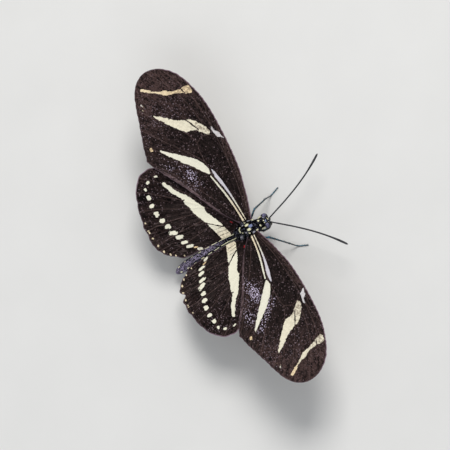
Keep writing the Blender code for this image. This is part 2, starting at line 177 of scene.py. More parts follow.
def reckon(operation, *values):
    """The result of a Math node on the values."""
    return add_node("Math", dict(enumerate(values)), operation=operation)


def vector(operation, *values):
    """The result of a Vector Math node on the values."""
    return add_node("VectorMath", dict(enumerate(values)), operation=operation)


def ramp(value, low, high, start=0.0, end=1.0):
    """A smooth step of the value from start at low to end at high."""
    inputs = {"Value": value, "From Min": low, "From Max": high, "To Min": start, "To Max": end}
    return add_node("MapRange", inputs, interpolation_type="SMOOTHSTEP")


def mixed(share, first, second):
    """The first colour turned into the second by a share from 0 to 1."""
    return add_node("Mix", {0: share, 6: first, 7: second}, 2, data_type="RGBA")


def colour(red, green, blue):
    """A linear colour with full alpha from one in sRGB, each part from 0 to 255."""
    parts = np.array([red, green, blue]) / 255
    linear = np.where(parts <= 0.04045, parts / 12.92, ((parts + 0.055) / 1.055) ** 2.4)
    return (*linear.tolist(), 1.0)


def mark(name):
    """The value of a mesh attribute."""
    return add_node("Attribute", {}, "Fac", attribute_name=name)


def millimetres():
    """Object coordinates in millimetres."""
    place = add_node("TexCoord", {}, "Object")
    return add_node("VectorMath", {0: place, "Scale": 1 / MM}, operation="SCALE")


def noise(place, scale, detail=2.0, rough=0.5):
    """A noise texture's value from 0 to 1, with scale blotches for each millimetre."""
    return add_node("TexNoise", {"Vector": place, "Scale": scale, "Detail": detail, "Roughness": rough})


def cells(place, scale, *outputs, **settings):
    """Outputs of a texture of cells, with scale cells for each millimetre."""
    return add_node("TexVoronoi", {"Vector": place, "Scale": scale}, *outputs, **settings)


def draws(tint):
    """Three random values from a cell's colour."""
    return add_node("SeparateColor", {0: tint}, 0, 1, 2)


def bump(height, strength, depth):
    """A surface normal raised by the height, with its depth in metres."""
    return add_node("Bump", {"Height": height, "Strength": strength, "Distance": depth})


def new_material(name):
    """A new material, which the nodes that follow go into, and its shader."""
    material = bpy.data.materials.new(name)
    material.use_nodes = True
    Field.tree = material.node_tree
    return material, Field.tree.nodes["Principled BSDF"]


def velvet_grain():
    """A group for scales and fur: a mottle from 0 to 1 and a height, from cells and noise."""
    Field.tree = bpy.data.node_groups.new("velvet_grain", "ShaderNodeTree")
    for name, way in (("Cells", "INPUT"), ("Blotches", "INPUT"), ("Mottle", "OUTPUT"), ("Height", "OUTPUT")):
        Field.tree.interface.new_socket(name, in_out=way, socket_type="NodeSocketFloat")
    given = Field.tree.nodes.new("NodeGroupInput").outputs
    place = millimetres()
    tint, distance = cells(place, Field(given["Cells"]), "Color", "Distance")
    each = draws(tint)[0]
    blotch = noise(place, Field(given["Blotches"]), 4.0, 0.6)
    fill(Field.tree.nodes.new("NodeGroupOutput"),
         {"Mottle": each * 0.45 + blotch * 0.55, "Height": each - distance * 0.8})
    return Field.tree


GRAIN = velvet_grain()


def grain(cell_scale, blotch_scale):
    """The velvet grain placed in a material with its own sizes, as (mottle, height)."""
    return add_node("Group", {"Cells": cell_scale, "Blotches": blotch_scale}, "Mottle", "Height",
                    node_tree=GRAIN)


NECK_FORWARD = 2.7
NECK_TURN_LENGTH = 0.7
HEAD_YAW = math.radians(8)


def turned(points):
    """Pieces of the head turn to the right about the neck, little by little from its rear face,
    and stand a little left of the thorax."""
    out, forward, up = np.moveaxis(np.asarray(points, float), -1, 0)
    ahead = forward - NECK_FORWARD
    angle = HEAD_YAW * smooth(0, NECK_TURN_LENGTH, ahead)
    left = 0.2 * smooth(1.6, 2.5, forward) - 0.1 * smooth(2.9, 3.5, forward)
    return np.stack([out * np.cos(angle) - ahead * np.sin(angle) + left,
                     out * np.sin(angle) + ahead * np.cos(angle) + NECK_FORWARD, up], axis=-1)


# Each station of the skin: forward, middle up, half width, half height and boxiness.
STATIONS = [
    (4.56, -0.80, 0.01, 0.01, 2.2), (4.50, -0.78, 0.40, 0.55, 2.4), (4.25, -0.68, 0.72, 0.92, 2.6),
    (3.80, -0.58, 0.90, 1.14, 2.8), (3.30, -0.55, 1.15, 1.18, 2.7), (2.95, -0.50, 1.42, 1.10, 2.4),
    (2.62, -0.45, 1.50, 1.00, 2.2), (2.35, -0.40, 1.44, 0.94, 2.1), (2.12, -0.36, 1.37, 0.98, 2.0),
    (1.90, -0.31, 1.37, 1.16, 2.0), (1.55, -0.24, 1.44, 1.38, 2.0), (1.25, -0.18, 1.50, 1.50, 2.0),
    (0.90, -0.12, 1.62, 1.70, 2.1), (0.20, -0.03, 1.76, 1.86, 2.2), (-0.80, 0.0, 1.84, 1.95, 2.2),
    (-1.80, 0.0, 1.84, 1.95, 2.2), (-2.50, 0.0, 1.74, 1.82, 2.1), (-3.00, 0.02, 1.58, 1.66, 2.0),
    (-3.60, 0.08, 1.28, 1.32, 2.0), (-4.00, 0.16, 0.92, 0.96, 2.0)]
ABDOMEN_FRONT = -4.3
ABDOMEN_LENGTH = 16.2
ABDOMEN_UP = 0.25
ABDOMEN_DROOP = 3.9
ABDOMEN_ASIDE = 0.2  # the abdomen bends this far to the left
ABDOMEN_ROLL = math.radians(7)
ABDOMEN_SHARES = [0.0, 0.06, 0.14, 0.38, 0.62, 0.80, 0.90, 0.96, 0.99, 1.0]
ABDOMEN_RADII = [0.72, 0.67, 0.69, 0.90, 1.06, 1.15, 1.04, 0.74, 0.42, 0.02]
SEGMENTS = 8
RING_LEAN = 0.433 * 0.9  # nine tenths of the drooping middle's slope at the last ring


def abdomen_at(share):
    """Forward, middle up and radius of the abdomen at a share of its length."""
    return (ABDOMEN_FRONT - ABDOMEN_LENGTH * share, ABDOMEN_UP - ABDOMEN_DROOP * share**1.8,
            np.interp(share, ABDOMEN_SHARES, ABDOMEN_RADII))


for share in ABDOMEN_SHARES:
    forward, up, radius = abdomen_at(share)
    STATIONS.append((forward, up, radius, radius, 2.0))
SKIN_ROWS = 460
SKIN_COLUMNS = 96
station_table = spline(STATIONS, 0.03)
station_along = np.linspace(0, 1, len(station_table))


def relief(forward, side, top):
    """How far the skin stands out beyond its stations, in millimetres: a dome with a groove along
    the back, a shield behind it, lobes of the collar, wing sockets and the rings behind."""
    above = np.clip(top, 0, 1)
    width = np.abs(side)
    rise = 0.16 * above**2 * smooth(-2.35, -1.7, forward) * smooth(1.3, 0.7, forward)
    rise -= 0.07 * above * bell(side, 0, 0.09) * smooth(-2.3, -1.9, forward) * smooth(1.2, 0.6, forward)
    rise += 0.20 * above * bell(forward, -2.78, 0.30) * bell(side, 0, 0.75)
    rise -= 0.10 * above * bell(forward, -2.33, 0.10)
    rise += 0.16 * bell(forward, 1.85, 0.3) * bell(width, 0.62, 0.3) * above
    rise += 0.26 * bell(forward, 0.85, 0.45) * bell(width, 0.84, 0.16) * above
    rise += 0.30 * bell(forward, -1.0, 1.2) * bell(width, 0.84, 0.22) * smooth(-0.1, 0.4, top)
    share = (ABDOMEN_FRONT - forward) / ABDOMEN_LENGTH
    step = (share * SEGMENTS) % 1
    ring = 0.045 * step - 0.06 * bell(step, 1.0, 0.07) - 0.05 * bell(step, 0, 0.08)
    rise += ring * smooth(0, 0.04, share) * smooth(1.0, 0.93, share)
    rise -= 0.05 * bell(top, -0.15, 0.16) * smooth(0.02, 0.1, share) * smooth(1, 0.9, share)
    rise += 0.12 * bell(forward, 3.15, 0.28) * bell(side, 0, 0.45) * above
    rise -= 0.06 * bell(side, 0, 0.12) * above * smooth(2.9, 3.3, forward) * smooth(4.2, 3.7, forward)
    return rise


def aside(forward):
    """How far the abdomen is bent to the left at a place forward."""
    return ABDOMEN_ASIDE * smooth(-4.0, -7.0, forward)


def skin(along, around):
    """Point on the skin at a share along it and a turn round it: middle(along) + half width x
    side(around) outward + half height x top(around) upward, with boxy ovals, and the relief."""
    forward, up, wide, high, box = (np.interp(along, station_along, column) for column in station_table.T)
    angle = 2 * math.pi * np.asarray(around)
    side = np.sign(np.cos(angle)) * np.abs(np.cos(angle)) ** (2 / box)
    top = np.sign(np.sin(angle)) * np.abs(np.sin(angle)) ** (2 / box)
    rise = relief(forward, side, top) * smooth(0, 0.3, wide)
    lean = (high + rise) * top * RING_LEAN * smooth(-4.3, -20.5, forward)
    return turned(np.stack([(wide + rise) * side + aside(forward), forward + lean,
                            up + (high + rise) * top], axis=-1))


# Pale spots of the body: two ends (out, forward, up) and a radius, mirrored to the other side.
YELLOW_SPOTS = [
    ((0.60, -1.00, 2.05), (0.66, -0.66, 2.1), 0.30), ((1.36, 1.12, 1.25), (1.52, 0.78, 1.35), 0.26),
    ((0.60, 2.00, 0.85), (0.70, 2.14, 0.75), 0.24), ((0.28, 3.08, 0.72), (0.28, 3.14, 0.72), 0.14),
    ((0.32, 4.14, 0.26), (0.74, 3.92, 0.30), 0.12), ((0.00, -2.92, 1.80), (0.40, -2.86, 1.76), 0.17),
    ((0.40, -2.86, 1.76), (0.74, -2.55, 1.68), 0.15), ((1.26, -1.15, 1.65), (1.42, -1.05, 1.60), 0.20),
    ((1.55, 0.2, -0.6), (1.55, 0.6, -0.9), 0.3), ((1.6, -1.9, -0.7), (1.55, -1.3, -1.0), 0.32)]
# The blue spots are painted sheen: blue-white highlights on top of the domed thorax, a thin streak behind
# them and one on top of the head.
BLUE_SHEEN_SPOTS = [
    ((0.12, -0.30, 2.05), (0.00, 0.14, 2.0), 0.27), ((0.05, -1.80, 2.1), (0.06, -1.0, 2.2), 0.04),
    ((0.06, 3.36, 0.7), (0.30, 3.72, 0.62), 0.10)]
GREY_SPOTS = [
    ((1.52, -0.15, 1.4), (1.58, 0.05, 1.35), 0.28), ((1.50, -3.35, 0.9), (1.40, -3.2, 1.0), 0.30),
    ((0.9, -1.9, 1.9), (1.0, -1.7, 1.9), 0.12), ((0.45, 1.30, 1.5), (0.5, 1.40, 1.5), 0.14),
    ((1.15, 3.25, 0.45), (0.95, 3.50, 0.55), 0.13), ((0.3, 0.95, 1.8), (0.2, 0.90, 1.8), 0.10)]
# One yellow spot behind each eye, which isn't mirrored.
LONE_SPOTS = [((1.48, 2.35, 0.12), (1.52, 3.0, 0.12), 0.31),
              ((-1.26, 2.1, -0.32), (-1.32, 2.8, -0.30), 0.31)]
SIDE_SPOT_TURN = math.radians(37)  # the pale row stands this far above the abdomen's widest line
SIDE_SPOT_STARTS = (0.15, 0.0, 0.3, 0.3, 0.42, 0.5, 0.5, 0.4)  # shares of each ring
SIDE_SPOT_STOPS = (1.0, 0.98, 0.95, 0.75, 0.62, 0.62, 0.58, 0.5)
for segment, span in enumerate(zip(SIDE_SPOT_STARTS, SIDE_SPOT_STOPS)):
    ends = []
    for part in span:
        forward, up, radius = abdomen_at((segment + part) / SEGMENTS)
        ends.append((radius * math.cos(SIDE_SPOT_TURN), forward, up + radius * math.sin(SIDE_SPOT_TURN)))
    low_ends = [(out * 0.55, forward, up - 1.75 * radius) for out, forward, up in ends]
    YELLOW_SPOTS += [(*ends, 0.10 if segment < 4 else 0.19), (*low_ends, 0.16)]


def to_segment(points, start, end):
    """Distance from each point to a segment, and the share along it of the nearest place."""
    start, line = np.array(start), np.subtract(end, start)
    t = np.clip(((points - start) @ line) / (line @ line), 0, 1)
    return np.linalg.norm(points - start - t[..., None] * line, axis=-1), t


def spot_field(points, spots):
    """Signed distance into the nearest spot: its radius less the distance to its middle line."""
    return np.max([radius - to_segment(points, start, end)[0] for start, end, radius in spots], axis=0)


def body_marks(points, shade):
    """The marks that skin and coat share, as attributes. The mirrored spots are laid out as if
    the head weren't turned and the abdomen neither bent nor rolled."""
    out, forward, up = np.moveaxis(points, -1, 0)
    ahead = np.clip(forward - NECK_FORWARD, 0, None)
    out = out + ahead * math.sin(HEAD_YAW) + 0.12 * smooth(0, 0.3, ahead) - aside(forward)
    out = out - 0.16 * smooth(-1.6, -2.4, forward) * smooth(-4.0, -3.4, forward)
    share = np.clip((ABDOMEN_FRONT - forward) / ABDOMEN_LENGTH, 0, 1)
    middle, radius = abdomen_at(share)[1:]
    roll = ABDOMEN_ROLL * smooth(0, 0.03, share)
    across = out * np.cos(roll) + (up - middle) * np.sin(roll)
    above = up + (up - middle) * (np.cos(roll) - 1) - out * np.sin(roll)
    straight = np.stack([np.abs(across), forward, above], axis=-1)
    flank = across / radius
    # Black flanks of the abdomen: a black band round the pale dashes on both sides, reaching higher up the
    # right flank as painted shade.
    black = np.maximum(smooth(-0.38, -0.56, flank), smooth(0.66, 0.80, flank)) * smooth(0.86, 0.70, share)
    return {"yellow": np.maximum(spot_field(straight, YELLOW_SPOTS), spot_field(points, LONE_SPOTS)),
            "blue": spot_field(straight, BLUE_SHEEN_SPOTS), "grey": spot_field(straight, GREY_SPOTS),
            "rear": smooth(-6.0, -11.5, forward) * (1 - 0.9 * black), "shade": shade}


def body_material():
    """Black scales and fur with pale yellow spots, a blue sheen on the back and a slate abdomen."""
    material, shader = new_material("body_scales")
    mottle, height = grain(9.0, 1.6)
    flecks = grain(4.4, 2.6)[0]
    jag = (mottle - 0.5) * 0.12
    shade = mark("shade")
    black = mixed(ramp(mottle, 0.3, 0.8), colour(1, 1, 2), colour(11, 10, 14))
    # Grey flecks on the black: painted glints of light on the fur.
    black = mixed(ramp(flecks, 0.67, 0.71, 0.0, 0.7), black, colour(112, 114, 134))
    slate = mixed(ramp(flecks, 0.42, 0.60), colour(12, 10, 15), colour(164, 152, 182))
    # Near-white specks on the slate: painted glints on the abdomen's scales.
    slate = mixed(ramp(shade, 0.76, 0.90, 0.0, 0.9), slate, colour(226, 216, 240))
    ground = mixed(mark("rear"), black, slate)
    # Single bright tufts: painted glints of light on the fur; on the wing roots more tufts pass, for their
    # grey hairs as well.
    ground = mixed(ramp(shade, 0.94, 0.98, 0.0, 0.8), ground, colour(166, 168, 184))
    ground = mixed(0.45 + mark("tip") * 0.55, colour(2, 2, 3), ground)
    # The blue mark is painted sheen; the grey and yellow marks are pale scales.
    for name, pale in (("grey", colour(186, 184, 196)), ("blue", colour(150, 162, 202)),
                       ("yellow", colour(255, 252, 216))):
        pale = mixed(ramp(mottle, 0.32, 0.55, 0.14, 0.0), pale, colour(120, 110, 84))
        ground = mixed(ramp(mark(name) + jag, -0.04, 0.01), ground, pale)
    lumps = height + noise(millimetres(), 14.0)
    fill(shader, {"Base Color": ground, "Roughness": ramp(mottle, 0.2, 0.8, 0.55, 0.36),
                  "Normal": bump(lumps, 0.5, 0.00004), "Specular IOR Level": 0.04})
    return material


BODY_SCALES = body_material()
rows, columns = np.meshgrid(np.linspace(0, 1, SKIN_ROWS), np.arange(SKIN_COLUMNS) / SKIN_COLUMNS,
                            indexing="ij")
skin_points = skin(rows, columns)
skin_marks = {**body_marks(skin_points, np.full(rows.shape, 0.2)), "tip": np.full(rows.shape, 0.55)}
add_piece("body_skin", skin_points, net(SKIN_ROWS, SKIN_COLUMNS, wrap=True), BODY_SCALES,
          ("head", "thorax", "abdomen"), skin_marks)

# The coat: fur on head and thorax, and small scales on the abdomen.
# Each tuft is a thin three-sided blade rooted in the skin, bent back along the body.

PATCH = 0.003  # a tuft's patch on the unwrap
CORNERS = 7  # points of each tuft
CORNER_SHARES = np.array([0, 0, 0, 0.55, 0.55, 0.55, 1.0])
CORNER_SIDES = np.array([-0.5, 0.5, 0, -0.42, 0.42, 0, 0])
CORNER_PLACES = np.array([(-1, -1), (1, -1), (0, -1), (-1, 0), (1, 0), (0, 0), (0, 1)])  # in the patch
BLADE_QUADS = ((0, 1, 4, 3), (1, 2, 5, 4), (2, 0, 3, 5))
BLADE_THIRDS = ((3, 4, 6), (4, 5, 6), (5, 3, 6), (2, 1, 0))


def blades(roots, lie, rise, across, lengths, widths, flat=0.35, bend=0.25):
    """Tapered blades: middle(t) = root + length x (t lie + (t - bend t^2) rise), with a three-sided
    ring at t = 0 and 0.55 and one point at t = 1."""
    above = np.array([0, 0, flat, 0, 0, flat * 0.8, 0])
    length, width = lengths[:, None, None], widths[:, None, None]
    t = CORNER_SHARES[None, :, None]
    upward = rise / np.maximum(np.linalg.norm(rise, axis=1), 1e-6)[:, None]
    return (roots[:, None] + length * (t * lie[:, None] + (t - bend * t * t) * rise[:, None])
            + width * (CORNER_SIDES[None, :, None] * across[:, None]
                       + above[None, :, None] * upward[:, None]))


def add_blades(name, points, material, marks, roots_on_map):
    """Blades as one piece, each with a small patch of the map at its root's place."""
    count = len(points)
    start = CORNERS * np.arange(count)[:, None]
    quads = np.concatenate([start + face for face in BLADE_QUADS])
    thirds = np.concatenate([start + face for face in BLADE_THIRDS])
    on_map = (roots_on_map[:, None] + PATCH * CORNER_PLACES / 2).reshape(-1, 2)
    order = np.concatenate([quads.ravel(), thirds.ravel()])
    add_piece(name, points, (quads.tolist() + thirds.tolist(), on_map[order]), material, (),
              {**marks, "tip": np.broadcast_to(CORNER_SHARES, (count, CORNERS))})


def coat(name, count, span, length, width, stand, seed, wander=0.35, sweep=0.0, turns=(0, 1)):
    """Tufts scattered over a span of the skin by its area, lying back with a given stand. With a
    sweep they lie that much outward instead, to the side that they are on."""
    rng = np.random.default_rng(seed)
    ends = np.interp(np.negative(span), -station_table[:, 0], station_along)
    along = rng.uniform(*ends, count * 3)
    around = rng.uniform(*turns, count * 3)
    if sweep:
        around = np.where(rng.uniform(0, 1, count * 3) < 0.5, around, 0.5 - around)
    wide = np.interp(along, station_along, station_table[:, 2])
    kept = np.flatnonzero(rng.uniform(0, 2.1, count * 3) < wide)[:count]
    along, around = along[kept], around[kept]
    root = skin(along, around)
    back = unit(skin(np.clip(along + 0.002, 0, 1), around) - root)
    outward = unit(np.cross(skin(along, around + 0.004) - root, back))
    middle_up = np.interp(along, station_along, station_table[:, 1])
    middle = np.stack([aside(root[:, 1]), root[:, 1], middle_up], axis=1)
    outward *= np.sign(np.sum(outward * (root - middle), axis=1))[:, None]
    across = np.cross(back, outward)
    drift = rng.normal(0, wander, len(root)) + sweep * np.sign(across[:, 0] * root[:, 0])
    lie = back * np.cos(drift)[:, None] + across * np.sin(drift)[:, None]
    lengths = length * rng.uniform(0.6, 1.25, len(root))
    widths = width * rng.uniform(0.7, 1.3, len(root))
    lift = stand * rng.uniform(0.4, 1.4, len(root))
    shade = rng.uniform(0.3 if sweep else 0, 1.05 if sweep else 1, len(root))
    seen = np.repeat((root + lie * lengths[:, None] / 2)[:, None], CORNERS, axis=1)
    points = blades(root - outward * 0.03, lie, outward * lift[:, None], np.cross(lie, outward), lengths,
                    widths)
    add_blades(name, points, BODY_SCALES, body_marks(seen, np.repeat(shade[:, None], CORNERS, axis=1)),
               np.stack([around, along], axis=1))


coat("coat_head", 6500, (4.45, 2.45), 0.20, 0.050, 0.30, 11)
coat("coat_thorax", 14500, (2.45, -4.3), 0.36, 0.066, 0.24, 12)
coat("coat_wing_roots", 1500, (-0.9, -4.6), 0.95, 0.075, 0.25, 14, 0.45, sweep=1.0, turns=(0.02, 0.16))
coat("coat_abdomen", 15500, (-4.2, -20.4), 0.26, 0.085, 0.15, 13, 0.22)

# The eyes.
# Each compound eye is a smooth dome of many small facets, dark brown with a dark rim, with slate
# and mauve painted sheen over its upper part, set in the side of the head.

SIDES = {"left": 1, "right": -1}
EYE_MIDDLE = (0.97, 3.58, -0.37)
EYE_REACH = (1.04, 0.80, 0.92)  # out, forward and up from its middle
EYE_ROWS = 48
EYE_COLUMNS = 64


def eye_material():
    """A glossy dark dome with fine facets and a grey painted sheen over its upper part."""
    material, shader = new_material("eye_facets")
    place = millimetres()
    facets = cells(place, 15.0, "Distance")
    upper_sheen = mixed(ramp(noise(place, 1.6, 3.0), 0.35, 0.65), colour(46, 46, 70), colour(134, 132, 170))
    # Painted sheen: slate and mauve over the upper, outer part of each eye, where light falls from above; the
    # rest is the eye's dark brown.
    tone = mixed(ramp(mark("upper_sheen"), 0.72, 0.92), colour(6, 4, 5), upper_sheen)
    tone = mixed(ramp(facets, 0.25, 0.6, 0.0, 0.5), tone, colour(30, 26, 34))
    fill(shader, {"Base Color": tone, "Roughness": 0.35, "Specular IOR Level": 0.25, "Coat Weight": 0.15,
                  "Coat Roughness": 0.12, "Normal": bump(facets * -1.0, 0.35, 0.00003)})
    return material


EYE_FACETS = eye_material()
polar, turn = np.meshgrid(np.linspace(0, math.pi, EYE_ROWS),
                          np.arange(EYE_COLUMNS) * 2 * math.pi / EYE_COLUMNS, indexing="ij")
dome = np.stack([np.cos(polar), np.sin(polar) * np.cos(turn), np.sin(polar) * np.sin(turn)], axis=-1)
for side, sign in SIDES.items():
    # The mark for the painted sheen: how far each place of the eye faces up and outward.
    add_piece("compound_eye_" + side, turned((dome * EYE_REACH + EYE_MIDDLE) * (sign, 1, 1)),
              net(EYE_ROWS, EYE_COLUMNS, wrap=True), EYE_FACETS, ("eye_" + side,),
              {"upper_sheen": dome @ (0.40, 0.0, 0.92)})

# The feelers.
# Each is a thin black rod of many short rings, thickened to a long club near its tip, standing on
# two round joints on the forehead.

# Root and tip (out, forward, up), and how far the rod bows inward.
FEELERS = {"left": ((0.26, 4.50, -0.35), (8.42, 21.5, 0.5), 0.74),
           "right": ((-0.60, 4.34, -0.35), (-14.65, 17.85, 0.5), 0.72)}
FEELER_RADII = [(0, 0), (0.006, 0.20), (0.014, 0.20), (0.019, 0.13), (0.024, 0.18), (0.032, 0.18),
                (0.04, 0.155), (0.10, 0.17), (0.74, 0.19), (0.90, 0.27), (0.975, 0.24), (0.993, 0.15),
                (1.0, 0.0)]
FEELER_ROWS = 420
ROD_SIDES = 14
RING_LENGTH = 0.36


def crosswise(along):
    """Two directions square to each row of along, with the first square to a fixed slant too."""
    across = unit(np.cross(along, (0.1, 0.2, 1.0)))
    return across, np.cross(along, across)


def tube(path, radii, sides):
    """A circle carried along a path: middle + radius x (cos turn across + sin turn other), with no
    ring twisted. Its ends close where radii are 0."""
    across, other = crosswise(unit(np.gradient(path, axis=0)))
    turn = (np.arange(sides) * 2 * math.pi / sides)[None, :, None]
    return path[:, None] + np.reshape(radii, (-1, 1, 1)) * (
        np.cos(turn) * across[:, None] + np.sin(turn) * other[:, None])


def chitin_material(name, dark, light, sheen, cell_scale=16.0):
    """Thin scales over chitin: dark and light mottled, with a coloured painted sheen along its top."""
    material, shader = new_material(name)
    mottle, height = grain(cell_scale, 2.0)
    tone = mixed(ramp(mottle, 0.3, 0.75), dark, light)
    upward = add_node("SeparateXYZ", {0: add_node("TexCoord", {}, "Normal")}, "Z")
    # Painted sheen: the sheen colour on the parts that face up, as if lit from above.
    painted_glint = ramp(upward, 0.45, 0.95) * ramp(mottle, 0.35, 0.6)
    fill(shader, {"Base Color": mixed(painted_glint, tone, sheen), "Roughness": ramp(mottle, 0.2, 0.8, 0.5, 0.32),
                  "Normal": bump(height, 0.4, 0.00003)})
    return material


# The third colour of each chitin material is its painted sheen.
FEELER_BLACK = chitin_material("feeler_black", colour(3, 3, 5), colour(13, 14, 19), colour(26, 30, 44))
for side, (root, tip, bow) in FEELERS.items():
    line = np.subtract(tip, root)
    outward = np.array([SIDES[side], 0, 0]) - line * (line[0] * SIDES[side]) / (line @ line)
    outward /= np.linalg.norm(outward)
    t = np.linspace(0, 1, FEELER_ROWS)
    path = root + line * t[:, None] - outward * bow * 4 * (t**1.2 * (1 - t**1.2))[:, None]
    ring = (t * np.linalg.norm(line) / RING_LENGTH) % 1
    radii = np.interp(t, *zip(*FEELER_RADII)) * (1 + 0.10 * smooth(0.05, 0.07, t) * (ring - 0.6))
    add_piece("feeler_" + side, tube(path, radii, ROD_SIDES), net(FEELER_ROWS, ROD_SIDES, wrap=True),
              FEELER_BLACK, ("antenna_" + side,))

# The palps.
# Two short upturned mouth parts in front of the face, each a soft stalk covered in bristly hair,
# some of it pale.

PALP_PATH = [(0.5, 3.5, -1.9), (0.60, 3.9, -2.2), (0.60, 4.25, -2.1), (0.55, 4.44, -1.75),
             (0.48, 4.46, -1.35)]
PALP_RADII = [(0, 0), (0.04, 0.2), (0.5, 0.22), (0.85, 0.16), (0.97, 0.07), (1, 0)]
PALP_SIDES = 12


def hair(name, path, radii, count, length, width, stand, seed, material, settle):
    """Bristles scattered over a tube on the left, lying along it towards its tip. Their points are
    then settled where they belong."""
    rng = np.random.default_rng(seed)
    pick = rng.uniform(0, len(path) - 1.001, count)
    i, part = pick.astype(int), (pick % 1)[:, None]
    place = path[i] * (1 - part) + path[i + 1] * part
    lengthwise = unit(path[i + 1] - path[i])
    across, other = crosswise(lengthwise)
    turn = rng.uniform(0, 2 * math.pi, count)[:, None]
    outward = np.cos(turn) * across + np.sin(turn) * other
    radius = np.interp(pick, np.arange(len(path)), radii)[:, None]
    lengths = length * rng.uniform(0.6, 1.3, count)
    widths = width * rng.uniform(0.7, 1.3, count)
    lift = (stand * rng.uniform(0.5, 1.5, count))[:, None]
    marks = {"shade": np.repeat(rng.uniform(0, 1, count)[:, None], CORNERS, axis=1)}
    on_map = np.stack([turn[:, 0] / 7, pick / len(path)], axis=1)
    points = blades(place + outward * radius * 0.9, lengthwise, outward * lift,
                    np.cross(lengthwise, outward), lengths, widths, flat=0.6, bend=0.1)
    add_blades(name, settle(points), material, marks, on_map)


def bristle_material(name, dark, pale, share):
    """Fine bristles: most dark, a share of them pale, each darker at its root."""
    material, shader = new_material(name)
    tone = mixed(ramp(mark("shade"), 1 - share - 0.05, 1 - share + 0.05), dark, pale)
    fill(shader, {"Base Color": mixed(ramp(mark("tip"), 0.0, 0.8), colour(10, 9, 10), tone),
                  "Roughness": ramp(noise(millimetres(), 6.0), 0.3, 0.7, 0.6, 0.42), "Sheen Weight": 0.1})
    return material


PALP_BRISTLES = bristle_material("palp_bristles", colour(34, 30, 32), colour(216, 204, 160), 0.3)
palp_path = spline(PALP_PATH, 0.06)
palp_radii = np.interp(np.linspace(0, 1, len(palp_path)), *zip(*PALP_RADII))
for side, sign in SIDES.items():
    stalk = turned(tube(palp_path, palp_radii, PALP_SIDES) * (sign, 1, 1))
    add_piece("mouth_palp_" + side, stalk, net(len(palp_path), PALP_SIDES, wrap=True), FEELER_BLACK,
              ("palp_" + side,))
    hair("palp_hair_" + side, palp_path, palp_radii, 420, 0.24, 0.035, 0.5, 21, PALP_BRISTLES,
         lambda points: turned(points * (sign, 1, 1)))

# The tongue.
# A brown tube of two joined halves, wound in a flat coil of nearly three turns under the head.

COIL_MIDDLE = (0, 3.6, -3.13)
COIL_RADIUS = 0.84
COIL_TURNS = 2.9
COIL_START = math.radians(60)
STEM = [(0, 3.85, -1.55), (0, 4.12, -1.9)]
TONGUE_RADII = [(0, 0), (0.01, 0.14), (0.06, 0.13), (0.7, 0.10), (0.985, 0.06), (1, 0)]
TONGUE_BROWN = chitin_material("tongue_brown", colour(24, 15, 12), colour(70, 46, 34), colour(96, 70, 52),
                               20.0)

spin = np.linspace(0, 1, 260)
angle = COIL_START + spin * COIL_TURNS * 2 * math.pi
radius = (COIL_RADIUS * (1 - 0.80 * spin**0.9))[:, None]
coil = COIL_MIDDLE + radius * np.stack([0 * spin, np.cos(angle), np.sin(angle)], axis=1)
coil = np.concatenate([spline([*STEM, coil[0]], 0.05)[:-1], coil])
share = np.linspace(0, 1, len(coil))
size = np.interp(share, *zip(*TONGUE_RADII)) * (1 + 0.05 * np.sin(share * 2 * math.pi * 90))
crosswise_out = np.array([1.0, 0, 0])
inward = np.cross(unit(np.gradient(coil, axis=0)), crosswise_out)
turn = (np.arange(ROD_SIDES) * 2 * math.pi / ROD_SIDES)[None, :, None]
pinch = 1 - 0.25 * bell(np.sin(turn), 1, 0.3)  # the groove between the two halves
coil_surface = coil[:, None] + size[:, None, None] * (
    1.5 * np.cos(turn) * crosswise_out * pinch + np.sin(turn) * inward[:, None])
add_piece("tongue_coil", turned(coil_surface), net(len(coil), ROD_SIDES, wrap=True), TONGUE_BROWN,
          ("proboscis",))

# The legs.
# Black jointed legs with a slate-blue sheen: thigh, shin with spines and five short foot joints.
# The small front pair is folded under the thorax and has only a hairy brush foot.

FLOOR_UP = -7.0
LOWEST_UP = FLOOR_UP + 0.02  # nothing reaches below the soles of the feet
FOOT_UP = FLOOR_UP + 0.17
LEGS = {
    "midleg": [(0.9, -0.5, -1.5), (1.30, -0.5, -2.15), (1.90, -0.4, -2.65), (3.90, 2.5, -0.25),
               (6.20, 6.0, -4.6), (6.75, 7.0, FOOT_UP + 0.5), (7.05, 7.6, FOOT_UP), (8.00, 9.8, FOOT_UP)],
    "hindleg": [(0.9, -2.2, -1.4), (1.20, -2.3, -2.05), (1.85, -2.6, -2.55), (4.80, -4.8, -0.75),
                (6.70, -9.4, -4.9), (7.20, -10.6, FOOT_UP + 0.5), (7.45, -11.5, FOOT_UP),
                (8.00, -13.9, FOOT_UP)],
    "foreleg": [(0.6, 1.3, -1.3), (0.80, 1.5, -2.1), (1.0, 2.0, -2.75), (1.05, 3.0, -2.75),
                (0.95, 3.9, -2.35)]}
LEG_RADII = [0.30, 0.28, 0.23, 0.22, 0.15, 0.14, 0.13, 0.10]
FORELEG_RADII = [0.22, 0.2, 0.22, 0.18, 0.1]
LEG_SIDES = 12

LEG_SLATE = chitin_material("leg_slate", colour(6, 8, 10), colour(20, 32, 42), colour(78, 148, 176))
LEG_HAIR = bristle_material("leg_hair", colour(26, 30, 34), colour(110, 118, 118), 0.15)


def cut_corners(corners, radii):
    """Path and radius through corners, each cut by two points that are up to 0.3 mm away."""
    corners = np.asarray(corners, float)
    path = [(*corners[0], radii[0])]
    for before, corner, after, radius in zip(corners[:-2], corners[1:-1], corners[2:], radii[1:]):
        for toward in (before - corner, after - corner):
            path.append((*(corner + toward * min(0.35, 0.3 / np.linalg.norm(toward))), radius))
    return path + [(*corners[-1], radii[-1])]


def above_floor(points):
    """Points raised to the soles' level where they would be lower."""
    return np.concatenate([points[..., :2], np.maximum(points[..., 2:], LOWEST_UP)], axis=-1)


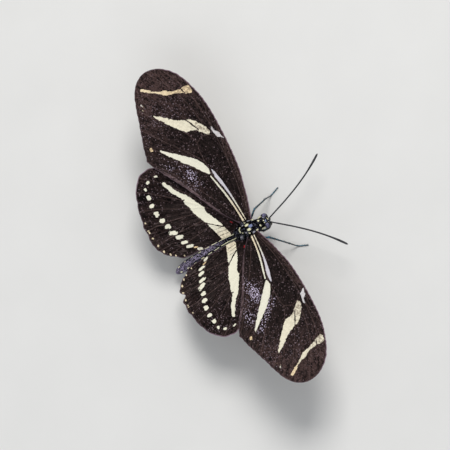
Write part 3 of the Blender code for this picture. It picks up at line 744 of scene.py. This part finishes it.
for kind, corners in LEGS.items():
    folded = kind == "foreleg"
    curve = spline(cut_corners(corners, FORELEG_RADII if folded else LEG_RADII), 0.05)
    path, radii = curve[:, :3], curve[:, 3]
    run = np.linspace(0, 1, len(path))
    radii = radii * smooth(0, 0.012, run) ** 0.5 * smooth(1, 0.988, run) ** 0.5
    foot = 0 * run if folded else smooth(0.81, 0.83, run)
    radii *= 1 + foot * (0.22 * np.abs(np.sin((run - 0.82) / 0.18 * 5 * math.pi)) - 0.12)
    surface = above_floor(tube(path, radii, LEG_SIDES))
    for side, sign in SIDES.items():
        add_piece(kind + "_chitin_" + side, surface * (sign, 1, 1), net(len(path), LEG_SIDES, wrap=True),
                  LEG_SLATE, (kind + "_" + side,))
        hair(kind + "_spines_" + side, path[3:-3], radii[3:-3], 260 if folded else 150, 0.34, 0.05, 0.75, 31,
             LEG_HAIR, lambda points: above_floor(points * (sign, 1, 1)))

# The wings.
# Each is a thin membrane on raised veins, covered on both faces with rows of tiny scales: velvety
# black-brown with cream bands. The forewing lies over the front of the hindwing.

DIHEDRAL = math.radians(12)
HINGE_OUT = 2.0
HINGE_UP = {"forewing": 1.3, "hindwing": 0.2}
CAMBER = 0.0025
CREST_FORWARD = -6.0
ARCH = 1.2
ARCH_OUT = 24.0
MEMBRANE = 0.05  # half the thickness of membrane and scales
ROOT_SINK = 0.35  # how far a wing's root runs into the fur of the thorax
ROOTS = {"forewing": (0.7, -1.7), "hindwing": (-1.5, -3.3)}  # front and rear of the root, forward
GRIDS = {"forewing": (380, 118), "hindwing": (270, 150)}

# The edge in plan, from the front of the root round the tip to the rear of the root.
OUTLINES = {
    "forewing": [(7.0, 2.5), (15.0, 4.1), (25.5, 4.45), (32.0, 3.8), (38.5, 1.5), (41.9, -2.1), (42.3, -6.2),
                 (39.2, -9.6), (32.0, -12.1), (25.3, -14.1), (22.7, -13.95), (14.6, -9.4), (10.0, -7.1),
                 (6.0, -5.0)],
    "hindwing": [(8.0, -3.3), (15.0, -6.8), (20.3, -10.6), (22.7, -14.3), (22.72, -16.1), (22.4, -17.6),
                 (21.4, -18.65), (20.1, -19.7), (18.9, -20.4), (17.4, -20.85), (15.9, -21.48), (14.2, -21.75),
                 (12.8, -21.95), (11.5, -22.38), (9.8, -22.2), (8.2, -22.45), (6.2, -22.05), (5.0, -21.45),
                 (3.4, -20.2), (2.45, -18.7), (1.25, -17.0), (0.98, -12.4), (0.74, -8.4), (0.74, -5.2)]}
VEINS = {
    "forewing": [
        [(3.6, 0.7), (10.0, 2.7), (17.0, 3.5), (23.5, 4.9)],
        [(2.9, 0.1), (8.0, 1.4), (14.0, 2.2), (22.0, 2.6), (28.0, 2.4), (34.9, 1.3), (41.9, -1.8)],
        [(14.0, 2.2), (20.0, 3.2), (27.5, 4.9)], [(22.0, 2.6), (27.0, 3.1), (32.8, 4.2)],
        [(28.0, 2.4), (33.0, 2.3), (37.8, 2.4)],
        [(2.9, -0.75), (8.0, -1.45), (14.2, -2.3), (20.1, -2.5), (22.4, -2.0)],
        [(22.4, -2.0), (23.2, -0.5), (22.9, 1.2), (22.0, 2.6)],
        [(22.9, 1.2), (28.0, 0.9), (34.9, -0.9), (42.9, -5.2)],
        [(23.2, -0.3), (24.9, -0.15), (28.6, -1.9), (34.0, -4.9), (41.5, -9.2)],
        [(22.4, -2.0), (25.4, -3.2), (28.6, -5.4), (31.0, -7.4), (36.4, -11.6)],
        [(17.5, -2.4), (20.5, -4.3), (25.0, -7.8), (32.0, -13.0)],
        [(14.2, -2.3), (16.5, -4.5), (20.1, -7.25), (24.0, -10.3), (28.4, -14.2)],
        [(3.6, -1.8), (9.0, -4.6), (16.0, -8.7), (22.2, -12.9), (24.4, -15.0)]],
    "hindwing": [
        [(3.0, -2.6), (8.0, -4.6), (14.5, -8.0), (19.5, -11.8), (23.4, -15.6)],
        [(4.5, -4.0), (10.0, -7.2), (15.5, -11.2), (20.0, -15.4), (22.5, -18.9)],
        [(3.0, -3.2), (4.5, -4.0), (8.2, -6.6), (9.6, -8.6), (10.2, -10.4)],
        [(8.2, -6.6), (13.5, -12.2), (18.1, -17.9), (19.9, -21.0)],
        [(10.2, -10.4), (14.0, -18.1), (15.4, -22.6)], [(8.9, -10.6), (10.2, -17.5), (10.7, -23.2)],
        [(10.2, -10.4), (8.9, -10.6), (6.6, -9.7)], [(2.6, -4.6), (3.3, -6.3), (4.8, -8.1), (6.6, -9.7)],
        [(6.6, -9.7), (6.8, -16.3), (6.3, -23.0)], [(4.8, -8.1), (4.0, -15.2), (3.1, -21.5)]]}

# Marks of the forewing: (out, forward) round each band and along the rear strip, and (out, forward,
# half width) along each line.
BAND_1 = [
    (33.35, 2.3), (33.55, 1.6), (33.7, 0.95), (34.3, 0.5), (34.45, -0.1), (34.6, -0.7), (34.95, -1.5),
    (35.2, -2.3), (35.45, -3.1), (35.85, -3.8), (36.6, -4.6), (37.15, -5.4), (37.55, -6.2), (38.1, -7.0),
    (38.65, -7.7), (39.05, -8.15), (39.45, -7.75), (39.0, -7.05), (38.4, -6.4), (37.85, -5.75), (37.35, -5.0),
    (36.9, -4.3), (36.85, -3.6), (36.5, -2.85), (35.95, -2.1), (35.6, -1.4), (35.5, -0.6), (35.3, 0.2),
    (35.4, 0.8), (35.35, 1.7), (35.3, 2.35), (34.75, 2.7), (33.75, 2.65)]
SLIVER = [(20.6, 3.95), (21.5, 3.85), (22.4, 3.55), (22.9, 3.15), (23.4, 2.85), (24.5, 2.66), (24.45, 2.42),
          (23.2, 2.3), (22.3, 2.5), (21.6, 2.7), (21.4, 3.25)]
BAND_2 = [
    (22.85, 1.25), (23.45, 0.65), (24.35, -0.2), (25.05, -0.7), (25.45, -1.25), (25.7, -1.9), (25.6, -2.45),
    (25.85, -3.1), (26.6, -3.95), (27.7, -4.85), (29.3, -6.05), (30.8, -7.2), (31.75, -7.9), (32.65, -8.15),
    (32.5, -7.85), (31.9, -7.0), (31.25, -6.25), (30.35, -5.25), (29.55, -4.35), (29.05, -3.4), (28.7, -2.6),
    (28.3, -1.7), (28.05, -0.95), (27.05, -0.05), (25.95, 0.75), (24.85, 1.4), (23.95, 1.85), (23.25, 1.85)]
BAND_3 = [
    (14.9, -2.7), (16.2, -2.45), (17.4, -2.9), (18.3, -3.4), (19.1, -3.95), (20.0, -4.85), (21.0, -5.85),
    (22.15, -7.2), (23.3, -8.55), (24.4, -9.85), (25.15, -10.7), (24.55, -10.55), (23.3, -9.75),
    (22.0, -8.85), (20.7, -7.75), (19.35, -6.6), (17.95, -5.4), (16.7, -4.5), (15.65, -3.7), (14.85, -3.0)]
CELL_LINE = [
    (2.2, -0.42, 0.09), (4.3, -0.50, 0.12), (6.2, -0.64, 0.13), (8.5, -0.82, 0.18), (10.7, -1.1, 0.27),
    (12.2, -1.4, 0.37), (13.6, -1.68, 0.38), (14.8, -1.85, 0.26), (15.8, -1.98, 0.08)]
REAR_LINE = [(1.3, -1.05, 0.2), (3.0, -1.10, 0.18), (5.1, -1.26, 0.16), (7.4, -1.52, 0.19), (9.7, -1.88, 0.2),
             (12.0, -2.38, 0.19), (14.3, -2.88, 0.12)]
REAR_STRIP = [(3.5, -3.9), (6.0, -5.0), (10.0, -7.1), (14.6, -9.4), (18.5, -11.6), (22.6, -13.8)]

# Marks of the hindwing. A spot is (out, forward, half width, half height, tilt), a dot is (out,
# forward, radius), and the red spot is a short line of changing half width.
HIND_BAND = [
    (0.4, -5.15), (1.35, -5.05), (2.75, -5.5), (4.15, -5.9), (5.4, -6.4), (6.9, -7.2), (8.1, -7.7),
    (9.1, -7.65), (10.0, -8.15), (11.35, -8.75), (12.5, -9.45), (13.6, -10.15), (14.7, -11.1), (15.8, -11.9),
    (16.8, -12.3), (17.85, -12.85), (18.45, -13.2), (18.4, -13.75), (18.0, -13.85), (16.8, -13.3),
    (15.45, -12.7), (14.45, -12.1), (13.3, -11.45), (12.95, -11.4), (12.75, -10.85), (12.5, -11.3),
    (12.15, -11.25), (11.0, -10.9), (10.0, -10.55), (9.0, -10.4), (7.8, -9.8), (6.7, -9.3), (5.5, -8.75),
    (4.9, -8.65), (3.8, -8.25), (2.7, -7.9), (1.6, -7.55), (0.4, -7.2)]
HIND_BAND_FRONT = 17  # the first points of the band run along its front
HIND_SPOTS = [
    (20.45, -14.2, 0.18, 0.44, 12), (20.15, -16.5, 0.26, 0.38, -20), (19.0, -17.8, 0.36, 0.27, 0),
    (16.9, -18.0, 0.58, 0.41, 0), (15.0, -18.25, 0.47, 0.53, 8), (12.9, -18.15, 0.58, 0.55, 15),
    (11.05, -17.75, 0.50, 0.68, 32), (9.3, -17.25, 0.49, 0.67, 15), (7.45, -16.8, 0.45, 0.97, 24),
    (5.85, -15.95, 0.43, 0.85, 16), (4.38, -15.55, 0.38, 0.84, 22), (3.05, -14.8, 0.34, 0.87, 18),
    (2.25, -13.7, 0.18, 0.62, 20), (1.45, -13.0, 0.30, 0.62, 22), (0.8, -12.2, 0.2, 0.4, 20)]
BUFF_SPOT = 12
MARGIN_DOTS = [(12.3, -21.45, 0.20), (10.1, -21.65, 0.26), (8.35, -21.6, 0.22), (6.4, -21.3, 0.26),
               (4.75, -20.75, 0.20), (3.45, -19.7, 0.22), (2.7, -18.7, 0.15), (1.75, -16.95, 0.16)]
RED_SPOT = [(3.25, -3.6, 0.13), (3.6, -3.85, 0.05)]

# Dark lines that cut the pale bands, each with its half width.
CUTS = {"forewing": [([(33.2, 1.05), (35.7, 0.35)], 0.10), ([(25.0, -0.3), (28.5, -1.95)], 0.10)],
        "hindwing": [([(3.3, -5.7), (4.2, -7.0), (5.4, -8.45), (5.7, -8.9)], 0.15),
                     ([(2.4, -5.2), (2.8, -8.0)], 0.05), ([(1.7, -5.1), (1.9, -7.7)], 0.04),
                     ([(3.4, -6.4), (3.7, -8.3)], 0.03)]}
# Streaks fan out from a near and a far place, and pass from one to the other between two limits out.
FANS = {"forewing": ((0.0, -1.5), (4.0, 9.0), (12.0, 22.0)),
        "hindwing": ((-2.0, 0.0), (4.5, 3.0), (2.0, 7.0))}
NEAR_STREAKS = 20  # for each radian of the fan
FAR_STREAKS = {"forewing": 28, "hindwing": 18}


def thorax_side(forward, up):
    """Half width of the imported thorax: a rounded barrel that slims towards its front."""
    t = (forward - THORAX_FORWARD) / 3.2
    share = (0.45 + 0.55 * np.sqrt(np.clip(1 - np.abs(t) ** 2.4, 0, 1))) * (1 - 0.1 * t)
    return 2.1 * share * np.sqrt(1 - np.clip(np.abs(up) / (2.2 * share), 0, 0.999) ** 2)


def in_streak(points, spine):
    """Signed distance into a line of changing width: half width less distance, at its best."""
    fields = []
    for (*start, wide), (*end, narrow) in zip(spine[:-1], spine[1:]):
        away, t = to_segment(points, start, end)
        fields.append(wide + (narrow - wide) * t - away)
    return np.max(fields, axis=0)


def off_lines(points, lines):
    """Distance from each point to the nearest of the lines, each a row of places."""
    best = np.full(points.shape[:-1], 99.0)
    for line in lines:
        for start, end in zip(line[:-1], line[1:]):
            best = np.minimum(best, to_segment(points, start, end)[0])
    return best


def in_patch(points, outline):
    """Signed distance into a closed outline: positive inside, found by counting crossings."""
    outline = np.asarray(outline, float)
    found = np.zeros(points.shape[:-1], bool)
    for a, b in zip(outline, np.roll(outline, -1, axis=0)):
        if a[1] != b[1]:
            spans = (a[1] > points[..., 1]) != (b[1] > points[..., 1])
            crossing = a[0] + (points[..., 1] - a[1]) * (b[0] - a[0]) / (b[1] - a[1])
            found ^= spans & (points[..., 0] < crossing)
    away = off_lines(points, [np.concatenate([outline, outline[:1]])])
    return np.where(found, away, -away)


def in_spot(points, out, forward, half_width, half_height, tilt=0):
    """Signed distance into a boxy oval: (1 - (|x|^3 + |y|^3)^(1/3) in its own radii) x its smaller
    radius."""
    turn = math.radians(tilt)
    x, y = points[..., 0] - out, points[..., 1] - forward
    across = (x * math.cos(turn) + y * math.sin(turn)) / half_width
    down = (y * math.cos(turn) - x * math.sin(turn)) / half_height
    return (1 - np.cbrt(np.abs(across) ** 3 + np.abs(down) ** 3)) * min(half_width, half_height)


def haze(points, out, forward, half_width, half_height):
    """A soft oval patch, 1 in its middle and 0.37 at its own radii."""
    return bell(points[..., 0], out, half_width) * bell(points[..., 1], forward, half_height)


def forewing_marks(plan, side):
    """Each pale mark of the forewing as its signed distance, its warmth (-1 violet, 0 cream, 1 buff)
    and its dimness."""
    left = side == "left"
    if not left:
        plan = plan + np.stack([0.45 * smooth(6, 12, plan[..., 0]) * smooth(24, 17, plan[..., 0]),
                                0 * plan[..., 0]], axis=-1)
    out, forward = plan[..., 0], plan[..., 1]
    base = smooth(10, 4.5, out)
    lit = 0.42 + 0.15 * smooth(-6, -1, forward) if left else 0.1 + 0.45 * smooth(-4, -7, forward)
    return [(in_patch(plan, BAND_1), lit, 0.12 + 0.18 * smooth(-3, 1, forward)),
            (in_patch(plan, SLIVER), -0.45, 0.1),
            (in_patch(plan, BAND_2), 0.1, 0.07 + 0.25 * smooth(-2.5, 0.5, forward)),
            (in_patch(plan, BAND_3), -0.05, 0.02),
            (in_streak(plan, CELL_LINE), base * 0.75 - 0.6, 0.05 + base * 0.1),
            (in_streak(plan, REAR_LINE), base * 0.3, 0.02),
            (in_spot(plan, 25.9, -12.3, 0.45, 0.3), 0.7, 0.2),
            (in_spot(plan, 34.8, -9.7, 0.25, 0.22), 0.3, 0.6),
            (in_streak(plan, [(35.4, -9.1, 0.1), (36.2, -9.5, 0.08)]), -0.2, 0.55)]


def hindwing_marks(plan, side):
    """Each pale mark of the hindwing as its signed distance, warmth and dimness."""
    base = smooth(5, 1, plan[..., 0])
    marks = [(in_patch(plan, HIND_BAND), 0.2 * base, 0.18 * base)]
    for number, spot in enumerate(HIND_SPOTS):
        dim = 0.0 if spot[0] > 3 else 0.2
        marks.append((in_spot(plan, *spot), 0.9 if number == BUFF_SPOT else 0.0, dim))
    for out, forward, radius in MARGIN_DOTS:
        marks.append((in_spot(plan, out, forward, radius * 1.3, radius * 0.85), 0.4, 0.15))
    return marks


def forewing_gloss(plan, rim, side):
    """Strip of long glossy scales behind, lighter as painted highlight; density of painted glints with
    painted glare patches; brown veil, partly painted glare; folds and fringe.
    """
    left = side == "left"
    out, forward = plan[..., 0], plan[..., 1]
    # The strip behind: glossy scales whose lighter colour is painted highlight, wider and stronger on the
    # left wing than the right.
    broad = np.interp(out, [4, 8, 14, 18, 22], [0.22, 0.4, 0.75, 0.75, 0.4]) * (1.0 if left else 0.8)
    strip = smooth(broad + 0.12, broad - 0.12, off_lines(plan, [REAR_STRIP])) * smooth(3.5, 7, out)
    strip = strip * (0.85 if left else 0.75) * smooth(23, 18, out)
    # Painted glare: soft patches where light glints off the scales, placed differently on the two wings; on
    # the right wing also along band 3.
    if left:
        glare = 0.8 * haze(plan, 17, -6.9, 1.2, 0.9) + 0.32 * haze(plan, 15, -6.6, 3.8, 1.8)
        glare = glare + 0.36 * haze(plan, 20.6, -10.2, 2.4, 1.4)
    else:
        glare = haze(plan, 15.8, -6.7, 1.7, 1.0) + 0.55 * haze(plan, 15.6, -7.0, 3.8, 2.1)
        glare = glare + 0.5 * haze(plan, 21, -10.4, 2.7, 1.5)
        beside_band = bell(off_lines(plan, [[(19.6, -3.8), (25.4, -9.4)]]), 0, 1.1)
        glare = np.maximum(glare, 0.5 * beside_band)
    # A broad painted glare round the glare patches, which adds glints and lightens the ground through the
    # veil.
    wide = 0.40 * haze(plan, 18, -7.5, 7.0, 3.4)
    outer = 0.25 * smooth(20, 30, out) * smooth(3, -3, forward) * smooth(40, 33, out)
    # Density of painted glints, bright flecks of light off the scales: a few everywhere but the tip, more in
    # the outer part, most in the glare.
    flecks = 0.03 + 0.09 * smooth(41, 34, out) + np.clip(glare, 0, 0.88)
    flecks = np.maximum(flecks, np.maximum(wide, outer))
    veil = 0.75 * smooth(22, 41, out) + 0.25 * smooth(-4, -11, forward) * smooth(16, 24, out)
    veil = np.maximum(wide, veil)
    veil = np.maximum(veil, 0.35 * smooth(1.4, 0.3, rim) * smooth(-1, 2, forward))
    front_zone = np.interp(out, [3, 8, 14, 22, 28, 34], [0.3, 1.6, 2.6, 3.1, 3.0, 2.2])
    veil = np.maximum(veil, 0.6 * smooth(0, 0.4, forward - front_zone) * smooth(30, 20, out))
    return {"strip": strip, "painted_glints": flecks, "veil": veil, "folded": 0.45 * smooth(1, 4, out),
            "fringe": 0.2 + 0.6 * smooth(-3, 0, forward)}


def hindwing_gloss(plan, rim, side):
    """The same for the hindwing, with a faint strip in front of its band, also painted lighter as a
    highlight.
    """
    out, forward = plan[..., 0], plan[..., 1]
    ahead = forward - np.interp(out, *zip(*HIND_BAND[:HIND_BAND_FRONT]))
    return {"strip": 0.10 * smooth(0.15, 0.7, ahead) * smooth(2.5, 5, out),
            # Painted glints on the hindwing, more towards its outer part.
            "painted_glints": 0.10 + 0.12 * smooth(10, 18, out),
            "veil": 0.05 + 0.15 * smooth(-17, -22, forward) + 0.4 * smooth(18.5, 22, out),
            "folded": smooth(-7, -10, forward) * smooth(18, 10, out),
            "fringe": 0.3 + 0.6 * smooth(17, 21, out)}


READERS = {"forewing": (forewing_marks, forewing_gloss), "hindwing": (hindwing_marks, hindwing_gloss)}


def wing_edge(kind, side):
    """The wing's edge in plan, from its root round the tip and back, with a slightly uneven rim."""
    first, last = [(thorax_side(forward, HINGE_UP[kind]) - ROOT_SINK, forward) for forward in ROOTS[kind]]
    edge = spline([first, *OUTLINES[kind], last], 0.08)
    ripple = np.sin(edge[:, 0] * 4.1) + 0.7 * np.sin(edge[:, 1] * 5.3 + 1.0)
    ripple += 0.5 * np.sin(edge.sum(1) * 11.0)
    edge[:, 1] += 0.035 * ripple * smooth(4, 8, np.hypot(edge[:, 0], edge[:, 1] + 2))
    if (kind, side) == ("hindwing", "right"):
        edge[:, 0] -= 0.45 * smooth(17, 22.5, edge[:, 0])
        edge[:, 1] += 1.25 * bell(edge[:, 0], 7.35, 0.75) * smooth(-19.5, -21.0, edge[:, 1])  # a worn nick
    return edge


def wing_plan(edge, rows, columns):
    """Places (out, forward): straight lines between a front and a rear edge, which both run from
    the root to the tip, the point farthest out."""
    tip = int(np.argmax(edge[:, 0]))
    share = np.linspace(0, 1, rows)
    front, rear = [], []
    for half, kept in ((edge[:tip + 1], front), (edge[tip:][::-1], rear)):
        run = np.concatenate([[0], np.cumsum(np.linalg.norm(np.diff(half, axis=0), axis=1))])
        kept.extend(np.interp(share * run[-1], run, half[:, k]) for k in (0, 1))
    front, rear = np.stack(front, axis=1)[:, None], np.stack(rear, axis=1)[:, None]
    across = np.linspace(0, 1, columns)[None, :, None]
    return front * (1 - across) + rear * across


def add_wing(kind, side, sign):
    """Both faces of a wing: the plan lifted by hinge + tan(dihedral) x out + arch - camber, with
    ridges on the veins and sagging cells."""
    edge = wing_edge(kind, side)
    rows, columns = GRIDS[kind]
    plan = wing_plan(edge, rows, columns)
    out, forward = plan[..., 0], plan[..., 1]
    vein = off_lines(plan, [spline(line, 1.0) for line in VEINS[kind]])
    rim = off_lines(plan, [edge[::4]])
    reach = np.hypot(out, forward + 1.5)
    strong = 0.5 + 0.5 * smooth(40, 5, reach)
    arch = ARCH * (1 - ((out - ARCH_OUT) / ARCH_OUT) ** 2)
    rise = HINGE_UP[kind] + math.tan(DIHEDRAL) * (out - HINGE_OUT) + arch
    rise = rise - CAMBER * (forward - CREST_FORWARD) ** 2
    rise += 0.10 * strong * bell(vein, 0, 0.16) - 0.11 * smooth(0.2, 1.6, vein) * smooth(0.1, 1.2, rim)
    half = MEMBRANE * np.sqrt(np.clip(rim / 0.15, 0, 1))
    half += 0.05 * strong * bell(vein, 0, 0.14) * smooth(0, 0.3, rim)
    half *= rim > 1e-3
    faces = [np.stack([out * sign, forward, rise + part], axis=-1) for part in (half, -half)]

    read_marks, read_gloss = READERS[kind]
    fields, warmth, dim = zip(*read_marks(plan, side))
    nearest = np.argmax(fields, axis=0)
    pale = np.max(fields, axis=0)
    for line, half_width in CUTS[kind]:
        pale = np.minimum(pale, off_lines(plan, [line]) - half_width)
    near, far, limits = FANS[kind]
    marks = {"pale": pale, "warmth": np.choose(nearest, warmth), "dim": np.choose(nearest, dim), "vein": vein,
             "rim": rim, "reach": reach, "zone": smooth(*limits, out),
             "fan": np.arctan2(forward - near[1], out - near[0]) * NEAR_STREAKS,
             "fan_far": np.arctan2(forward - far[1], out - far[0]) * FAR_STREAKS[kind],
             "red": in_streak(plan, RED_SPOT) if kind == "hindwing" else 0 * out - 9.0,
             **read_gloss(plan, rim, side)}
    marks = {name: np.stack([values, values]) for name, values in marks.items()}
    marks["under"] = np.repeat([0.0, 1.0], out.size)

    upper = net(rows, columns)[0]
    lower = upper[:, ::-1]
    flat_map = np.stack([(out - out.min()) / np.ptp(out) * 0.98 + 0.01,
                         (forward - forward.min()) / np.ptp(forward) * 0.48 + 0.01], axis=-1).reshape(-1, 2)
    quads = np.concatenate([upper, lower + out.size])
    unwrap = np.concatenate([flat_map[upper] + (0, 0.5), flat_map[lower]])
    add_piece(kind + "_scaled_" + side, np.stack(faces), (quads, unwrap), WING_SCALES,
              (kind + "_" + side,), marks)


def dashes(place, scale, length, width, density):
    """Short bright strokes: one in each cell, at its own angle, kept where its draw is under the
    density. Inside = 1 - distance in units of the stroke's half length and half width."""
    tint, middle = cells(place, scale, "Color", "Position", voronoi_dimensions="2D")
    turn, choice, brightness = draws(tint)
    away = vector("SUBTRACT", place, middle)
    spun = add_node("VectorRotate", {"Vector": away, "Angle": turn * (2 * math.pi)}, rotation_type="Z_AXIS")
    along, across = add_node("SeparateXYZ", {0: spun}, "X", "Y")
    squares = [reckon("POWER", part / half, 2.0) for part, half in ((along, length / 2), (across, width / 2))]
    inside = ramp(squares[0] + squares[1], 1.0, 0.45)
    return inside * ramp(density - choice, 0.0, 0.06) * (0.35 + brightness * 0.65)


def wing_material():
    """Velvety scales: a black-brown ground mottled cell by cell, streaked along the fan of the
    veins and strewn with bright strokes of painted glints, and cream marks with ragged edges of single
    scales."""
    material, shader = new_material("wing_scales")
    place, zone, reach = millimetres(), mark("zone"), mark("reach")
    mottle, height = grain(2.6, 0.9)
    fine, fine_height = grain(7.0, 3.2)

    def fanned(name, stretch):
        return add_node("CombineXYZ", {0: mark(name), 1: reach * stretch})

    fan, fold = [add_node("Mix", {0: zone, 2: noise(fanned("fan", stretch), scale, detail, 0.7),
                                  3: noise(fanned("fan_far", stretch), scale, detail, 0.7)})
                 for stretch, scale, detail in ((0.16, 1.9, 3.0), (0.05, 1.5, 0.0))]
    tooth = draws(cells(fanned("fan_far", 0.45), 2.6, "Color", voronoi_dimensions="2D"))[0]
    jag = ((mottle - 0.5) * 0.18 + (tooth - 0.55) * 0.20) * (0.35 + zone * 0.65)

    # The ground, its folds, veins lighter as painted highlight on their ridges, and the glossy strip, lighter
    # as painted highlight.
    veil, flecks = mark("veil"), mark("painted_glints")
    tone = ramp(mottle * 0.22 + fine * 0.36 + fan * 0.42, 0.42, 0.60)
    # The veil lightens the ground to brown; round the glare patches this lightening is painted glare.
    ground = mixed(veil, mixed(tone, colour(4, 3, 3), colour(34, 25, 24)),
                   mixed(tone, colour(18, 12, 12), colour(84, 65, 63)))
    wander = add_node("TexNoise", {"Vector": place, "Scale": 5.0, "Detail": 1.0}, "Color")
    uneven = vector("MULTIPLY_ADD", vector("SUBTRACT", wander, (0.5, 0.5, 0.5)), (0.22, 0.22, 0), place)
    # Faint painted glints: pale strokes of light off the scales, more where the veil is.
    faint_glints = dashes(uneven, 2.2, 0.38, 0.22, 0.16 + veil * 0.14)
    ground = mixed(faint_glints * 0.6, ground, colour(124, 102, 106))
    fold = reckon("PINGPONG", fold * 9.0, 0.5)
    ground = mixed(ramp(fold, 0.14, 0.03, 0.0, 0.45) * mark("folded"), ground, colour(104, 90, 88))
    # Lighter lines along the veins: painted highlight where light catches the raised veins.
    ground = mixed(ramp(mark("vein"), 0.16, 0.05, 0.0, 0.25), ground, colour(104, 84, 80))
    # The strip's colour: its own brown, with painted highlight as lighter mauve streaks along it.
    strip = mixed(ramp(fan, 0.35, 0.65), colour(48, 36, 35), colour(124, 104, 106))
    ground = mixed(mark("strip") * 0.85, ground, strip)

    # Painted glints, violet strokes of light off the scales, and the fringe of the rim.
    coarse = dashes(uneven, 2.0, 0.42, 0.20, flecks * 0.62)
    small = dashes(uneven, 3.3, 0.26, 0.20, flecks * 0.60)
    painted_glint = mixed(ramp(flecks, 0.15, 0.75), colour(126, 110, 116), colour(240, 226, 255))
    ground = mixed(reckon("MAXIMUM", coarse, small), ground, painted_glint)
    fringe = ramp(mark("rim") + fine * 0.12, 0.30, 0.16) * mark("fringe")
    ground = mixed(fringe, ground, colour(140, 116, 130))

    # Pale marks from violet through cream to buff, dim where brown scales are mixed in.
    warmth = ramp(mark("warmth"), -1.0, 1.0)
    violet, cream, buff = colour(202, 199, 216), colour(237, 234, 214), colour(242, 212, 164)
    pale = mixed(warmth * 2 - 1.0, mixed(warmth * 2, violet, cream), buff)
    pale = mixed(mark("dim") * ramp(mottle, 0.35, 0.62, 2.2, 0.4), pale, colour(104, 84, 72))
    pale = mixed(ramp(fine, 0.25, 0.6, 0.14, 0.0), pale, colour(150, 140, 116))
    pale = mixed(ramp(fan, 0.58, 0.72, 0.0, 0.16), pale, colour(170, 158, 134))
    edge = ramp(mark("pale") + jag, -0.03, 0.03)
    upper = mixed(ramp(mark("red") + jag, -0.05, 0.05), mixed(edge, ground, pale), colour(176, 44, 52))
    under = mixed(edge * 0.9, mixed(tone, colour(58, 44, 38), colour(104, 84, 72)),
                  mixed(0.25, pale, colour(196, 168, 128)))
    gloss = mixed(mark("strip"), (0.66, 0.66, 0.66, 1), (0.46, 0.46, 0.46, 1))
    lumps = height * 0.6 + fine_height * 0.4 + fan * 0.8
    fill(shader, {"Base Color": mixed(ramp(mark("under"), 0.3, 0.7), upper, under), "Roughness": gloss,
                  "Normal": bump(lumps, 0.55, 0.00004), "Specular IOR Level": 0.04})
    return material


WING_SCALES = wing_material()
for kind in GRIDS:
    for side, sign in SIDES.items():
        add_wing(kind, side, sign)

# Floor, light and camera.
# A plain pale floor and wide soft lamps. The camera looks down on the butterfly's back from a
# little to its right, turned so that the left wing points up the picture as in the photo.

FLOOR_SIZE = 1.6


def floor_material():
    """Matt pale card with a faint mottle."""
    material, shader = new_material("pale_floor")
    tone = mixed(noise(millimetres(), 0.05, 4.0), (0.70, 0.70, 0.69, 1), (0.76, 0.76, 0.75, 1))
    fill(shader, {"Base Color": tone, "Roughness": 0.8, "Specular IOR Level": 0.2})
    return material


def add_floor():
    """A flat square on the frame's ground level."""
    mesh = bpy.data.meshes.new("floor")
    end = FLOOR_SIZE / 2
    mesh.from_pydata([(-end, -end, 0), (end, -end, 0), (end, end, 0), (-end, end, 0)], [], [(0, 1, 2, 3)])
    mesh.materials.append(floor_material())
    floor = bpy.data.objects.new("floor", mesh)
    bpy.context.scene.collection.objects.link(floor)


def add_lamp(name, place, size, power, tint):
    """A square soft lamp that faces the butterfly."""
    lamp = bpy.data.lights.new(name, "AREA")
    lamp.size = size
    lamp.energy = power
    lamp.color = tint
    holder = bpy.data.objects.new(name, lamp)
    bpy.context.scene.collection.objects.link(holder)
    holder.location = place
    holder.rotation_euler = (-Vector(place)).to_track_quat("-Z", "Y").to_euler()


add_floor()
add_lamp("key_lamp", (0.35, -0.25, 0.75), 0.45, 5.2, (1.0, 0.98, 0.95))
add_lamp("fill_lamp", (-0.55, 0.35, 0.6), 0.7, 2.2, (0.93, 0.96, 1.0))
world = bpy.data.worlds.new("studio")
world.use_nodes = True
fill(world.node_tree.nodes["Background"], {"Color": (0.95, 0.97, 1.0, 1), "Strength": 0.36})
bpy.context.scene.world = world
bpy.context.scene.view_settings.view_transform = "Standard"

CAMERA_DISTANCE = 5.0
FRAME_WIDTH = 0.10465  # real width of the picture at the butterfly
TOWARDS_CAMERA = (-0.3007, 0, 0.9537)
PICTURE_RIGHT = (-0.4474, -0.8830, -0.1411)
SHIFT_RIGHT = -0.006163  # from the hinge of the wings to the middle of the picture
SHIFT_UP = 0.000326

right = Vector(PICTURE_RIGHT).normalized()
towards = Vector(TOWARDS_CAMERA)
towards = (towards - right * towards.dot(right)).normalized()
upward = towards.cross(right)
target = Vector(placed([0, 0, HINGE_UP["forewing"]])) + right * SHIFT_RIGHT + upward * SHIFT_UP
camera = bpy.data.cameras.new("camera")
camera.sensor_width = 36
camera.lens = camera.sensor_width * CAMERA_DISTANCE / FRAME_WIDTH
camera.clip_start = 0.01
viewer = bpy.data.objects.new("camera", camera)
bpy.context.scene.collection.objects.link(viewer)
turn = Matrix((right, upward, towards)).transposed().to_4x4()
viewer.matrix_world = Matrix.Translation(target + towards * CAMERA_DISTANCE) @ turn
bpy.context.scene.camera = viewer
